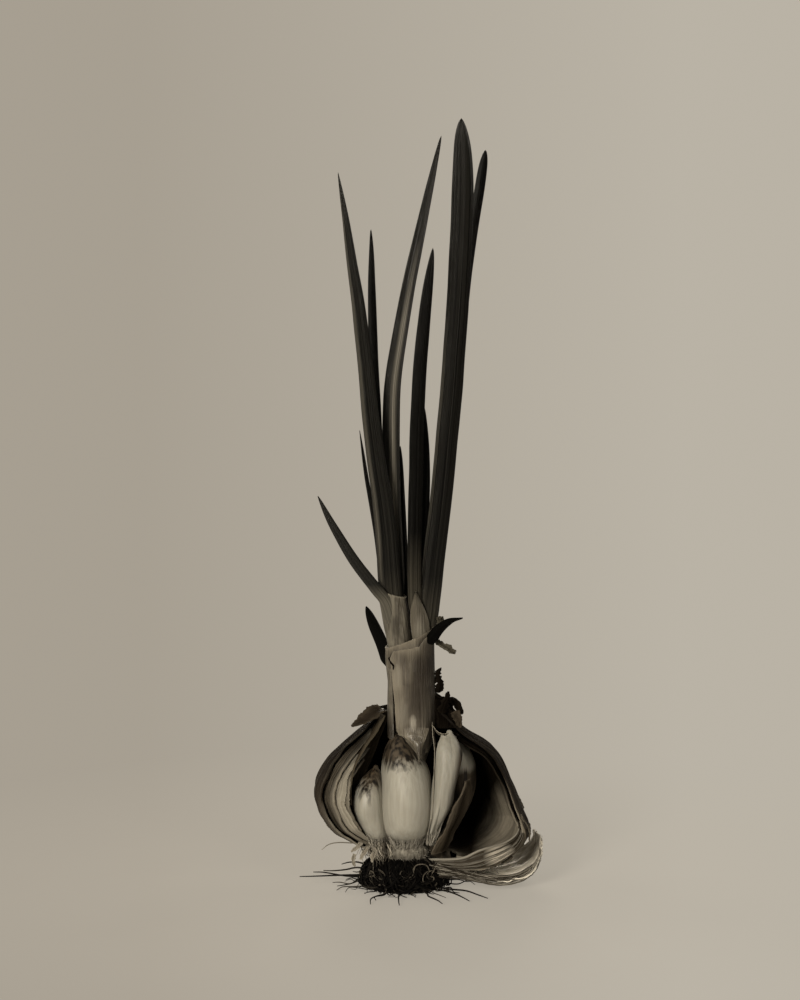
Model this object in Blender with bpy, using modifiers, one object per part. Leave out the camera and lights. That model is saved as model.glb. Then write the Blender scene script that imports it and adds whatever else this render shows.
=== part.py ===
"""A sprouted onion, withered and split open at the front, standing on its root tuft.

Metres, +Z up. The origin is the middle of the flat spot under the root tuft. The onion is seen from
-Y: +X is its right side and +Y its back. From the ground up it is built of a root tuft, a basal plate,
bare inner lobes, the dry skins and scales around them, the neck, two shoots and their leaves.
"""

import math
import random
from collections import namedtuple

import bmesh
import bpy
from mathutils import Vector

GAP = 0.0003  # left between neighbouring pieces
UP = Vector((0, 0, 1))

# Bulb: a withered globe about 76 mm across, sagging on its right side
BULB_AXIS_X = 0.003
SKIN_THICKNESS = 0.0008
# Outlines of the dry skin from the plate to the neck, as (radius, height), by the side they belong to
LEFT_OUTLINE = [
    (0.0132, 0.0122), (0.0168, 0.0138), (0.0225, 0.0170), (0.0292, 0.0218), (0.0340, 0.0300),
    (0.0349, 0.0370), (0.0306, 0.0455), (0.0216, 0.0543), (0.0105, 0.0640),
]
RIGHT_OUTLINE = [
    (0.0105, 0.0095), (0.0200, 0.0078), (0.0300, 0.0096), (0.0380, 0.0142), (0.0410, 0.0208),
    (0.0382, 0.0285), (0.0345, 0.0385), (0.0292, 0.0490), (0.0190, 0.0562), (0.0105, 0.0640),
]
BACK_OUTLINE = [
    (0.0110, 0.0105), (0.0170, 0.0080), (0.0280, 0.0105), (0.0350, 0.0195), (0.0365, 0.0310),
    (0.0335, 0.0430), (0.0255, 0.0530), (0.0165, 0.0590), (0.0105, 0.0640),
]
FALLEN_OUTLINE = [
    (0.0135, 0.0068), (0.0190, 0.0056), (0.0250, 0.0042), (0.0320, 0.0030), (0.0400, 0.0046),
    (0.0448, 0.0095), (0.0460, 0.0165),
]
SHEATH_OUTLINE = [
    (0.0128, 0.0140), (0.0145, 0.0180), (0.0160, 0.0220), (0.0188, 0.0270), (0.0208, 0.0325),
    (0.0216, 0.0370), (0.0212, 0.0405),
]
# A dry scale covers the turn from `start` to `end` degrees about the bulb's axis, where 0 is the front,
# 90 the right and 270 the left. Each is given at the plate, at mid height and at the neck. `inset` is how
# deep it lies under the outer skin, `low` and `high` the part of the outline's length that it has, and
# `ragged` how far its free edges wander, in degrees.
Scale = namedtuple("Scale", "name inset start end low high columns rows ragged")
SCALES = [
    Scale("outer_skin", 0.0, (54, 80, 68), (294, 290, 280), 0.0, 1.0, 22, 11, 2.0),
    Scale("left_scale_outer", 0.0020, (216, 214, 236), (298, 301, 288), 0.02, 0.93, 9, 9, 1.5),
    Scale("left_scale_middle", 0.0039, (228, 226, 244), (299, 308, 290), 0.04, 0.89, 8, 9, 1.5),
    Scale("left_scale_inner", 0.0053, (240, 238, 250), (296, 309, 292), 0.31, 0.85, 7, 8, 1.0),
    Scale("right_scale", 0.0030, (84, 86, 76), (158, 158, 140), 0.05, 0.90, 7, 9, 1.5),
]
FALLEN_SCALE = Scale("fallen_scale", 0.0, (60, 76, 86), (112, 124, 110), 0.0, 1.0, 8, 9, 2.0)
LOBE_SHEATH = Scale("lobe_sheath", 0.0, (30, 42, 60), (68, 72, 72), 0.0, 1.0, 5, 7, 1.0)

# Bare lobes and the plate, as rings: height, middle x, middle y, half width, half depth
BASAL_PLATE = [
    (0.0045, 0.0002, -0.0012, 0.0066, 0.0064), (0.0060, 0.0002, -0.0014, 0.0084, 0.0082),
    (0.0100, 0.0002, -0.0016, 0.0092, 0.0090), (0.0140, 0.0003, -0.0022, 0.0084, 0.0088),
    (0.0172, 0.0004, -0.0030, 0.0064, 0.0075), (0.0182, 0.0004, -0.0036, 0.0046, 0.0055),
]
HEART_LOBE = [
    (0.0190, 0.0004, -0.0062, 0.0056, 0.0060), (0.0214, 0.0004, -0.0068, 0.0077, 0.0096),
    (0.0250, 0.0004, -0.0070, 0.0088, 0.0126), (0.0300, 0.0004, -0.0068, 0.0092, 0.0142),
    (0.0360, 0.0004, -0.0064, 0.0092, 0.0148), (0.0425, 0.0002, -0.0060, 0.0088, 0.0140),
    (0.0478, -0.0004, -0.0056, 0.0074, 0.0118), (0.0520, -0.0012, -0.0052, 0.0050, 0.0092),
    (0.0552, -0.0016, -0.0050, 0.0024, 0.0060),
]
LEFT_LOBE = [
    (0.0192, -0.0098, -0.0070, 0.0026, 0.0042), (0.0208, -0.0099, -0.0076, 0.0038, 0.0062),
    (0.0243, -0.0112, -0.0080, 0.0048, 0.0082), (0.0290, -0.0126, -0.0082, 0.0055, 0.0094),
    (0.0326, -0.0130, -0.0082, 0.0057, 0.0094), (0.0365, -0.0128, -0.0080, 0.0052, 0.0086),
    (0.0400, -0.0119, -0.0076, 0.0040, 0.0068), (0.0430, -0.0108, -0.0072, 0.0022, 0.0040),
    (0.0444, -0.0103, -0.0070, 0.0010, 0.0020),
]
RIGHT_LOBE = [
    (0.0196, 0.0090, -0.0078, 0.0014, 0.0026), (0.0231, 0.0096, -0.0084, 0.0022, 0.0044),
    (0.0275, 0.0112, -0.0090, 0.0033, 0.0062), (0.0325, 0.0126, -0.0094, 0.0041, 0.0072),
    (0.0369, 0.0133, -0.0094, 0.0041, 0.0076), (0.0423, 0.0144, -0.0092, 0.0044, 0.0076),
    (0.0478, 0.0155, -0.0088, 0.0046, 0.0068), (0.0513, 0.0160, -0.0084, 0.0040, 0.0056),
    (0.0545, 0.0160, -0.0080, 0.0026, 0.0038), (0.0572, 0.0156, -0.0078, 0.0011, 0.0016),
]
REAR_LOBE = [
    (0.0210, 0.0156, 0.0068, 0.0030, 0.0050), (0.0260, 0.0176, 0.0074, 0.0048, 0.0078),
    (0.0340, 0.0196, 0.0074, 0.0056, 0.0090), (0.0420, 0.0203, 0.0066, 0.0050, 0.0084),
    (0.0480, 0.0194, 0.0052, 0.0038, 0.0064), (0.0520, 0.0176, 0.0040, 0.0020, 0.0036),
]

# Neck and shoots, as rings of the same kind
NECK = [
    (0.0455, 0.0052, -0.0060, 0.0016, 0.0020), (0.0500, 0.0042, -0.0042, 0.0044, 0.0048),
    (0.0550, 0.0035, -0.0030, 0.0066, 0.0062), (0.0600, 0.0029, -0.0022, 0.0076, 0.0070),
    (0.0675, 0.0026, -0.0018, 0.0080, 0.0072), (0.0775, 0.0020, -0.0015, 0.0083, 0.0072),
    (0.0850, 0.0016, -0.0012, 0.0085, 0.0070), (0.0902, 0.0016, -0.0010, 0.0084, 0.0067),
]
NECK_SLANT = 0.42  # how steeply the torn top of the neck rises to the right
LEFT_SHOOT = [
    (0.0770, -0.0014, -0.0006, 0.0028, 0.0028), (0.0830, -0.0016, -0.0006, 0.0038, 0.0042),
    (0.0893, -0.0020, -0.0004, 0.0045, 0.0047), (0.0932, -0.0026, -0.0002, 0.0047, 0.0048),
    (0.0992, -0.0035, 0.0000, 0.0049, 0.0048), (0.1030, -0.0042, 0.0000, 0.0050, 0.0047),
    (0.1060, -0.0046, 0.0000, 0.0049, 0.0046),
]
LEFT_SHOOT_SLANT = -0.30
RIGHT_SHOOT = [
    (0.0790, 0.0050, -0.0004, 0.0018, 0.0026), (0.0850, 0.0053, -0.0004, 0.0024, 0.0036),
    (0.0900, 0.0055, -0.0002, 0.0028, 0.0041), (0.0945, 0.0054, 0.0000, 0.0029, 0.0042),
    (0.0990, 0.0048, 0.0000, 0.0029, 0.0040), (0.1032, 0.0045, 0.0000, 0.0025, 0.0036),
]
RIGHT_SHOOT_SLANT = -1.0

# A leaf blade follows `path` from its foot to its tip. `facing` is the way its face looks, in degrees
# from the front towards the right. `fold` is its channel's depth over its width, hollow behind where it is
# positive. `foot` is its width at the foot over its full width. Its width falls as (1 - t^sharp)^taper.
Leaf = namedtuple("Leaf", "name path width thickness facing fold foot sharp taper")
LEFT_LEAVES = [
    Leaf("leaf_left_tall",
         [(-0.0046, -0.0014, 0.0965), (-0.0052, -0.0018, 0.1060), (-0.0072, -0.0026, 0.1323),
          (-0.0111, -0.0038, 0.1607), (-0.0156, -0.0050, 0.2027), (-0.0195, -0.0056, 0.2304),
          (-0.0230, -0.0060, 0.2538)],
         0.0092, 0.0017, -12, 0.16, 0.66, 1.35, 0.72),
    Leaf("leaf_left_short", [(-0.0054, 0.0030, 0.0955), (-0.0064, 0.0042, 0.1100), (-0.0099, 0.0066, 0.1628),
                             (-0.0115, 0.0092, 0.1980), (-0.0119, 0.0120, 0.2328)],
         0.0043, 0.0013, -40, 0.15, 0.60, 7.0, 0.70),
    Leaf("leaf_middle_tall", [(-0.0024, 0.0010, 0.0950), (-0.0030, 0.0014, 0.1120), (-0.0043, 0.0020, 0.1400),
                              (-0.0046, 0.0026, 0.1680), (-0.0032, 0.0030, 0.1860), (0.0008, 0.0042, 0.2100),
                              (0.0064, 0.0052, 0.2375), (0.0126, 0.0060, 0.2656)],
         0.0072, 0.0015, -28, -0.20, 0.40, 2.8, 0.60),
    Leaf("leaf_left_stub", [(-0.0064, 0.0010, 0.0940), (-0.0098, 0.0018, 0.1244), (-0.0137, 0.0026, 0.1474),
                            (-0.0159, 0.0030, 0.1632)],
         0.0020, 0.0010, -30, 0.10, 0.80, 3.0, 0.80),
]
INNER_LEAF = Leaf("leaf_inner",
                  [(0.0010, 0.0040, 0.0880), (0.0004, 0.0043, 0.1005), (-0.0006, 0.0048, 0.1204),
                   (-0.0013, 0.0054, 0.1390), (-0.0017, 0.0060, 0.1573)],
                  0.0034, 0.0012, 10, 0.12, 0.65, 5.0, 0.70)
RIGHT_LEAVES = [
    Leaf("leaf_middle_dark", [(0.0042, -0.0022, 0.0940), (0.0036, -0.0024, 0.1040), (0.0033, -0.0025, 0.1200),
                              (0.0038, -0.0025, 0.1464), (0.0047, -0.0030, 0.1781), (0.0066, -0.0035, 0.2025),
                              (0.0096, -0.0040, 0.2276)],
         0.0050, 0.0015, 8, 0.14, 0.42, 9.0, 0.65),
    Leaf("leaf_right_tall", [(0.0077, -0.0004, 0.0870), (0.0081, -0.0005, 0.0980), (0.0106, -0.0014, 0.1214),
                             (0.0140, -0.0028, 0.1535), (0.0167, -0.0044, 0.1855), (0.0187, -0.0060, 0.2166),
                             (0.0198, -0.0076, 0.2477), (0.0192, -0.0090, 0.2723)],
         0.0078, 0.0018, 6, 0.14, 0.42, 18.0, 0.70),
    Leaf("leaf_right_rear", [(0.0064, 0.0034, 0.0930), (0.0080, 0.0038, 0.1050), (0.0110, 0.0048, 0.1276),
                             (0.0165, 0.0070, 0.1733), (0.0220, 0.0100, 0.2221), (0.0260, 0.0114, 0.2482),
                             (0.0280, 0.0120, 0.2603)],
         0.0044, 0.0012, -35, 0.15, 0.55, 12.0, 0.60),
    Leaf("leaf_right_short", [(0.0046, 0.0008, 0.0940), (0.0054, 0.0012, 0.1060), (0.0063, 0.0018, 0.1240),
                              (0.0074, 0.0025, 0.1491), (0.0068, 0.0030, 0.1712)],
         0.0034, 0.0011, 15, 0.12, 0.55, 6.0, 0.60),
    Leaf("leaf_right_inner", [(0.0072, 0.0017, 0.0930), (0.0078, 0.0018, 0.1040), (0.0090, 0.0024, 0.1208),
                              (0.0106, 0.0030, 0.1421), (0.0112, 0.0036, 0.1573)],
         0.0030, 0.0011, -30, 0.12, 0.55, 3.5, 0.80),
]
SIDE_BLADE = Leaf("side_blade",
                  [(-0.0044, -0.0034, 0.0960), (-0.0068, -0.0042, 0.1035), (-0.0105, -0.0050, 0.1085),
                   (-0.0180, -0.0062, 0.1187), (-0.0247, -0.0074, 0.1303), (-0.0304, -0.0084, 0.1418)],
                  0.0043, 0.0016, 0, 0.10, 1.00, 3.5, 0.70)
LOW_LEAVES = [
    Leaf("leaf_back_low", [(-0.0052, 0.0036, 0.0775), (-0.0080, 0.0056, 0.0863), (-0.0111, 0.0072, 0.0932),
                           (-0.0138, 0.0080, 0.0996)],
         0.0044, 0.0013, 0, 0.10, 0.30, 4.0, 0.70),
    Leaf("leaf_right_low", [(0.0086, -0.0055, 0.0890), (0.0116, -0.0072, 0.0937), (0.0157, -0.0090, 0.0974),
                            (0.0202, -0.0100, 0.0988)],
         0.0046, 0.0013, 10, 0.12, 0.75, 2.2, 0.75),
    Leaf("dry_scrap", [(0.0104, -0.0008, 0.0888), (0.0124, -0.0016, 0.0876), (0.0152, -0.0026, 0.0862),
                       (0.0178, -0.0034, 0.0846)],
         0.0030, 0.0013, 20, 0.25, 0.70, 9.0, 0.60),
    Leaf("dry_curl", [(0.0119, 0.0008, 0.0912), (0.0125, 0.0000, 0.0942), (0.0124, -0.0012, 0.0966),
                      (0.0117, -0.0024, 0.0972)],
         0.0024, 0.0010, 20, 0.10, 0.80, 9.0, 0.60),
]
# Torn ends of the dry skin, standing off around the neck
TATTERS = [
    Leaf("tatter_left", [(-0.0082, -0.0050, 0.0664), (-0.0106, -0.0062, 0.0656), (-0.0145, -0.0074, 0.0630),
                         (-0.0190, -0.0086, 0.0606)],
         0.0070, 0.0008, -20, 0.12, 0.80, 2.0, 0.70),
    Leaf("tatter_back_left",
         [(-0.0050, 0.0076, 0.0656), (-0.0088, 0.0114, 0.0646), (-0.0122, 0.0150, 0.0626)],
         0.0080, 0.0008, 215, 0.10, 0.80, 2.5, 0.70),
    Leaf("tatter_back", [(0.0040, 0.0092, 0.0690), (0.0050, 0.0125, 0.0690), (0.0062, 0.0160, 0.0676)],
         0.0085, 0.0008, 180, 0.10, 0.80, 2.5, 0.70),
    Leaf("tatter_right", [(0.0122, 0.0000, 0.0668), (0.0146, -0.0006, 0.0674), (0.0176, -0.0012, 0.0662),
                          (0.0204, -0.0020, 0.0624)],
         0.0068, 0.0008, 30, 0.16, 0.90, 5.0, 0.55),
    Leaf("tatter_upright", [(0.0130, -0.0058, 0.0640), (0.0140, -0.0066, 0.0670), (0.0148, -0.0072, 0.0696),
                            (0.0152, -0.0078, 0.0722)],
         0.0062, 0.0008, 15, 0.12, 0.95, 1.8, 0.75),
    Leaf("neck_strip", [(-0.0066, -0.0030, 0.0700), (-0.0063, -0.0046, 0.0640), (-0.0058, -0.0062, 0.0590),
                        (-0.0056, -0.0072, 0.0556)],
         0.0032, 0.0010, -35, 0.10, 0.60, 4.0, 0.60),
    Leaf("neck_chip", [(0.0114, -0.0028, 0.0706), (0.0122, -0.0032, 0.0740), (0.0118, -0.0036, 0.0770),
                       (0.0126, -0.0040, 0.0800)],
         0.0026, 0.0010, 25, 0.15, 0.80, 5.0, 0.60),
]
BLADE_SIDES = 8
LONG_BLADE_STEPS = 13
SHORT_BLADE_STEPS = 6

# Root tuft: a mound of matted roots, with loops over it and loose ends on the ground
TUFT_RADIUS = 0.0152
TUFT_HEIGHT = 0.0104
TUFT_MIDDLE = Vector((0.0, -0.0005, 0))
ROOT_RADIUS = 0.00055
LOOP_COUNT = 20
LOOSE_ENDS = [  # where each loose root's tip lies, x and y, and its height
    (-0.0375, -0.0040, 0.0042), (-0.0290, -0.0010, 0.0056), (-0.0225, -0.0005, 0.0078),
    (-0.0330, 0.0150, 0.0007), (-0.0150, 0.0280, 0.0007), (0.0060, 0.0330, 0.0007),
    (0.0200, 0.0270, 0.0007), (0.0290, -0.0200, 0.0007), (0.0225, -0.0235, 0.0007),
    (0.0130, -0.0270, 0.0007), (-0.0020, -0.0290, 0.0007), (-0.0120, -0.0275, 0.0007),
]
SEED = 7

# Finish of each kind of piece: colour, roughness
FINISHES = {
    "leaf": ((0.022, 0.023, 0.016), 0.38),
    "flesh": ((0.62, 0.56, 0.42), 0.42),
    "sheath": ((0.42, 0.38, 0.28), 0.45),
    "dry_skin": ((0.075, 0.052, 0.034), 0.60),
    "plate": ((0.36, 0.31, 0.22), 0.80),
    "root": ((0.045, 0.034, 0.024), 0.85),
}


def clear_scene():
    for item in list(bpy.data.objects):
        bpy.data.objects.remove(item)


def finish_of(kind):
    """The material of one kind of piece, made once."""
    if kind in bpy.data.materials:
        return bpy.data.materials[kind]
    colour, roughness = FINISHES[kind]
    material = bpy.data.materials.new(kind)
    material.use_nodes = True
    shader = material.node_tree.nodes["Principled BSDF"]
    shader.inputs["Base Color"].default_value = (*colour, 1)
    shader.inputs["Roughness"].default_value = roughness
    shader.inputs["Metallic"].default_value = 0
    return material


def add_object(name, faces_from, kind, collection):
    """A named object from a bmesh, smooth shaded, with its material."""
    mesh = bpy.data.meshes.new(name)
    bmesh.ops.recalc_face_normals(faces_from, faces=faces_from.faces)
    faces_from.to_mesh(mesh)
    faces_from.free()
    mesh.shade_smooth()
    mesh.materials.append(finish_of(kind))
    made = bpy.data.objects.new(name, mesh)
    collection.objects.link(made)
    return made


def smooth_point(points, t):
    """The point at t from 0 to 1 on a Catmull-Rom curve through the points."""
    place = min(max(t, 0.0), 1.0) * (len(points) - 1)
    k = min(int(place), len(points) - 2)
    u = place - k
    here, after = Vector(points[k]), Vector(points[k + 1])
    before = Vector(points[k - 1]) if k else here * 2 - after
    beyond = Vector(points[k + 2]) if k + 2 < len(points) else after * 2 - here
    return 0.5 * (
        2 * here
        + (after - before) * u
        + (2 * before - 5 * here + 4 * after - beyond) * u * u
        + (3 * here - before - 3 * after + beyond) * u**3
    )


def loft(rings, tip=None):
    """A closed bmesh through rings of points, ending in a tip point if there is one."""
    work = bmesh.new()
    rows = [[work.verts.new(point) for point in ring] for ring in rings]
    count = len(rows[0])
    for lower, upper in zip(rows, rows[1:]):
        for k in range(count):
            after = (k + 1) % count
            work.faces.new((lower[k], lower[after], upper[after], upper[k]))
    work.faces.new(rows[0])
    if tip is None:
        work.faces.new(rows[-1])
    else:
        point = work.verts.new(tip)
        for k in range(count):
            work.faces.new((rows[-1][k], rows[-1][(k + 1) % count], point))
    return work


def body_rings(table, sides, grow=0.0, slant=0.0, squareness=1.0):
    """Rings of a lobe or stem from its table. `slant` tilts the upper rings along x."""
    rings = []
    foot, head = table[0][0], table[-1][0]
    for height, x, y, half_width, half_depth in table:
        share = (height - foot) / (head - foot)
        ring = []
        for k in range(sides):
            angle = math.tau * k / sides
            across, deep = math.cos(angle), math.sin(angle)
            across = math.copysign(abs(across) ** squareness, across)
            deep = math.copysign(abs(deep) ** squareness, deep)
            dx = across * (half_width + grow)
            rise = slant * dx * share**3 + grow * (2 * share - 1)
            ring.append(Vector((x + dx, y + deep * (half_depth + grow), height + rise)))
        rings.append(ring)
    return rings


def add_body(name, table, kind, collection, sides=16, **shape):
    return add_object(name, loft(body_rings(table, sides, **shape)), kind, collection)


def blade_width(leaf, t):
    """A blade's width over its full width: narrow at the foot, full, then tapering to the tip."""
    widening = 0.16
    rise = min(t / widening, 1.0)
    rise = rise * rise * (3 - 2 * rise)
    foot = leaf.foot + (1 - leaf.foot) * rise
    return foot * max(1 - t**leaf.sharp, 0.0) ** leaf.taper


def blade(leaf, steps, grow=0.0):
    """A leaf blade: a channelled lens swept along its path to a point."""
    turn = math.radians(leaf.facing)
    across = Vector((math.cos(turn), math.sin(turn), 0))
    last = 0.985
    rings = []
    for k in range(steps + 1):
        t = last * (1 - (1 - k / steps) ** 1.25)
        middle = smooth_point(leaf.path, t)
        along = (smooth_point(leaf.path, t + 0.01) - smooth_point(leaf.path, t - 0.01)).normalized()
        if k == 0:
            middle -= along * grow
        side = (across - along * across.dot(along)).normalized()
        face = side.cross(along)
        share = blade_width(leaf, t)
        half_width = leaf.width * share / 2 + grow
        half_thick = leaf.thickness * (0.35 + 0.65 * share) / 2 + grow
        depth = leaf.fold * leaf.width * share
        ring = []
        for n in range(BLADE_SIDES):
            angle = math.tau * n / BLADE_SIDES
            u, v = math.cos(angle), math.sin(angle)
            ring.append(middle + side * u * half_width - face * (v * half_thick + depth * (0.5 - u * u)) * -1)
        rings.append(ring)
    return loft(rings, tip=smooth_point(leaf.path, 1.0))


def add_blade(leaf, kind, collection, steps=LONG_BLADE_STEPS, grow=0.0):
    return add_object(leaf.name, blade(leaf, steps, grow), kind, collection)


def bake(target):
    """Replaces the object's mesh by its evaluated one, without modifiers."""
    bpy.context.view_layer.update()
    graph = bpy.context.evaluated_depsgraph_get()
    mesh = bpy.data.meshes.new_from_object(target.evaluated_get(graph))
    target.modifiers.clear()
    target.data = mesh


def combine(target, others, operation, solver="EXACT"):
    """Unites the target with the other objects or cuts them from it, and removes them."""
    group = bpy.data.collections.new("operands")
    bpy.context.scene.collection.children.link(group)
    for other in others:
        for owner in list(other.users_collection):
            owner.objects.unlink(other)
        group.objects.link(other)
    step = target.modifiers.new(operation.lower(), "BOOLEAN")
    step.operation = operation
    step.operand_type = "COLLECTION"
    step.collection = group
    step.solver = solver
    bake(target)
    for other in others:
        bpy.data.objects.remove(other)
    bpy.data.collections.remove(group)


def carve(target, leaves, collection, steps=LONG_BLADE_STEPS):
    """Cuts a socket in the target for each leaf, one gap wider than the leaf."""
    cutters = [
        add_object("cutter", blade(leaf, steps, grow=GAP), "leaf", collection) for leaf in leaves
    ]
    combine(target, cutters, "DIFFERENCE")


def ease(value):
    value = min(max(value, 0.0), 1.0)
    return value * value * (3 - 2 * value)


def skin_point(turn, u, inset):
    """A point of the dry skin, `turn` degrees round from the front and u from plate to neck."""
    side = math.sin(math.radians(turn))
    rightness = ease(side / 0.75)
    leftness = ease(-side / 0.75)
    left, right, back = (
        Vector((*smooth_point([(r, z, 0) for r, z in outline], u).xy, 0))
        for outline in (LEFT_OUTLINE, RIGHT_OUTLINE, BACK_OUTLINE)
    )
    return left * leftness + right * rightness + back * (1 - leftness - rightness)


def round_axis(turn, flat):
    """Turns an outline point, radius and height, about the bulb's axis."""
    angle = math.radians(turn)
    return Vector((BULB_AXIS_X + flat.x * math.sin(angle), -flat.x * math.cos(angle), flat.y))


def scale_point(scale, outline_at, turn, u):
    """A point of a dry scale, with the skin's shallow ribs and its inset."""
    here = outline_at(turn, u)
    slope = outline_at(turn, min(u + 0.02, 1)) - outline_at(turn, max(u - 0.02, 0))
    outward = Vector((slope.y, -slope.x, 0)).normalized()
    rib = 0.0005 * math.sin(math.radians(turn) * 17) * math.sin(math.pi * u)
    closing = 0.6 + 0.4 * ease(u / 0.45)  # the scales lie closer together towards the plate
    return round_axis(turn, here + outward * (rib - scale.inset * closing))


def edge_turn(scale, turns, u, phase):
    """Where a scale's free edge is at height u, in degrees, wandering as a torn edge does."""
    low, middle, high = turns
    place = middle + (low - middle) * ease((0.4 - u) / 0.4) + (high - middle) * ease((u - 0.6) / 0.4)
    return place + scale.ragged * (math.sin(9 * u + phase) + 0.6 * math.sin(23 * u + 2 * phase))


def add_scale(scale, outline_at, kind, collection):
    """A dry scale: an open sheet of its outline, given its thickness inwards by Solidify."""
    work = bmesh.new()
    rows = []
    for j in range(scale.rows + 1):
        u = scale.low + (scale.high - scale.low) * j / scale.rows
        start = edge_turn(scale, scale.start, u, scale.inset * 900)
        end = edge_turn(scale, scale.end, u, scale.inset * 900 + 2)
        rows.append([
            work.verts.new(scale_point(scale, outline_at, start + (end - start) * k / scale.columns, u))
            for k in range(scale.columns + 1)
        ])
    for lower, upper in zip(rows, rows[1:]):
        for k in range(scale.columns):
            work.faces.new((lower[k], lower[k + 1], upper[k + 1], upper[k]))
    made = add_object(scale.name, work, kind, collection)
    face_outwards(made.data)
    sheet = made.modifiers.new("thickness", "SOLIDIFY")
    sheet.thickness = SKIN_THICKNESS
    sheet.offset = -1
    sheet.use_even_offset = False
    return made


def face_outwards(mesh):
    """Turns an open sheet's faces so that they look away from the bulb's middle."""
    heart = Vector((BULB_AXIS_X, 0, 0.030))
    looking = sum(face.normal.dot(face.center - heart) * face.area for face in mesh.polygons)
    if looking < 0:
        mesh.flip_normals()


def outline_reader(outline):
    """A function that reads one outline for every turn."""
    flat = [(r, z, 0) for r, z in outline]
    return lambda turn, u: Vector((*smooth_point(flat, u).xy, 0))


def tuft_mound(grow=0.0):
    """The matted heap of roots, lumpy, with a flat spot under it."""
    rings = []
    for height, radius in ((0, 0.80), (0.06, 0.98), (0.28, 1.0), (0.58, 0.86), (0.84, 0.62), (1.0, 0.34)):
        ring = []
        for k in range(20):
            angle = math.tau * k / 20
            lump = 1 + 0.05 * math.sin(5 * angle + 7 * height) + 0.035 * math.sin(9 * angle - 4 * height)
            reach = TUFT_RADIUS * radius * lump
            flat = Vector((reach * math.cos(angle), reach * math.sin(angle), TUFT_HEIGHT * height))
            ring.append(TUFT_MIDDLE + flat)
        rings.append(ring)
    return loft(rings)


def root_tube(points, name, collection):
    """One root: a slim three-sided tube along its points."""
    steps = 7
    side = Vector((0.3, 0.2, 1))
    rings = []
    for k in range(steps + 1):
        t = k / steps
        middle = smooth_point(points, t)
        along = (smooth_point(points, t + 0.02) - smooth_point(points, t - 0.02)).normalized()
        side = (side - along * side.dot(along)).normalized()
        over = side.cross(along)
        radius = ROOT_RADIUS * (1.1 - 0.35 * t)
        rings.append([
            middle + (side * math.cos(a) + over * math.sin(a)) * radius
            for a in (0, math.tau / 3, 2 * math.tau / 3)
        ])
    return add_object(name, loft(rings), "root", collection)


def mound_point(angle, height, out=1.0):
    """A point on the mound's side."""
    radius = TUFT_RADIUS * math.sqrt(max(1 - (height / TUFT_HEIGHT) ** 2 * 0.85, 0.05)) * out
    return TUFT_MIDDLE + Vector((radius * math.cos(angle), radius * math.sin(angle), height))


def loop_paths(draw):
    """Roots that leave the mound, arch over its side and dive back into it."""
    paths = []
    for k in range(LOOP_COUNT):
        angle = math.tau * (k + draw.uniform(-0.3, 0.3)) / LOOP_COUNT
        swing = draw.uniform(0.25, 0.6) * draw.choice((-1, 1))
        top = draw.uniform(0.40, 0.62) * TUFT_HEIGHT
        paths.append([
            mound_point(angle, top, 0.80),
            mound_point(angle + swing * 0.3, top * 0.95, 1.12),
            mound_point(angle + swing * 0.8, top * 0.45, 1.10),
            mound_point(angle + swing, 0.0012, 0.82),
        ])
    return paths


def loose_paths(draw):
    """Roots that leave the mound's foot and lie along the ground to their tips."""
    paths = []
    for x, y, z in LOOSE_ENDS:
        tip = Vector((x, y, z))
        angle = math.atan2(y - TUFT_MIDDLE.y, x - TUFT_MIDDLE.x)
        start = mound_point(angle, max(z, 0.0016), 0.75)
        sideways = Vector((-math.sin(angle), math.cos(angle), 0)) * draw.uniform(-0.0025, 0.0025)
        middle = start.lerp(tip, 0.5) + sideways
        middle.z = max(min(start.z, tip.z), ROOT_RADIUS * 1.3)
        paths.append([start, middle, tip])
    return paths


def add_roots(collection):
    """The root tuft: its mound with every root fused in, and a socket for the plate."""
    draw = random.Random(SEED)
    tuft = add_object("root_tuft", tuft_mound(), "root", collection)
    roots = [root_tube(path, "root", collection) for path in loop_paths(draw) + loose_paths(draw)]
    combine(tuft, roots, "UNION")
    socket = add_body("socket", BASAL_PLATE, "root", collection, sides=18, grow=GAP)
    combine(tuft, [socket], "DIFFERENCE")
    return tuft


def add_bulb(collection):
    """The plate, the bare lobes and the dry scales around them."""
    add_body("basal_plate", BASAL_PLATE, "plate", collection, sides=18)
    heart = add_body("heart_lobe", HEART_LOBE, "flesh", collection, sides=18, slant=-0.3)
    seat = add_body("seat", NECK, "flesh", collection, sides=18, grow=GAP)
    combine(heart, [seat], "DIFFERENCE")
    for name, table in (("left_lobe", LEFT_LOBE), ("right_lobe", RIGHT_LOBE)):
        lobe = add_body(name, table, "flesh", collection, sides=14)
        seat = add_body("seat", HEART_LOBE, "flesh", collection, sides=18, slant=-0.3, grow=GAP)
        combine(lobe, [seat], "DIFFERENCE")
    add_body("rear_lobe", REAR_LOBE, "flesh", collection, sides=14)
    for scale in SCALES:
        add_scale(scale, lambda turn, u: skin_point(turn, u, 0), "dry_skin", collection)
    add_scale(FALLEN_SCALE, outline_reader(FALLEN_OUTLINE), "dry_skin", collection)
    add_scale(LOBE_SHEATH, outline_reader(SHEATH_OUTLINE), "dry_skin", collection)
    for tatter in TATTERS:
        add_blade(tatter, "dry_skin", collection, SHORT_BLADE_STEPS)


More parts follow.
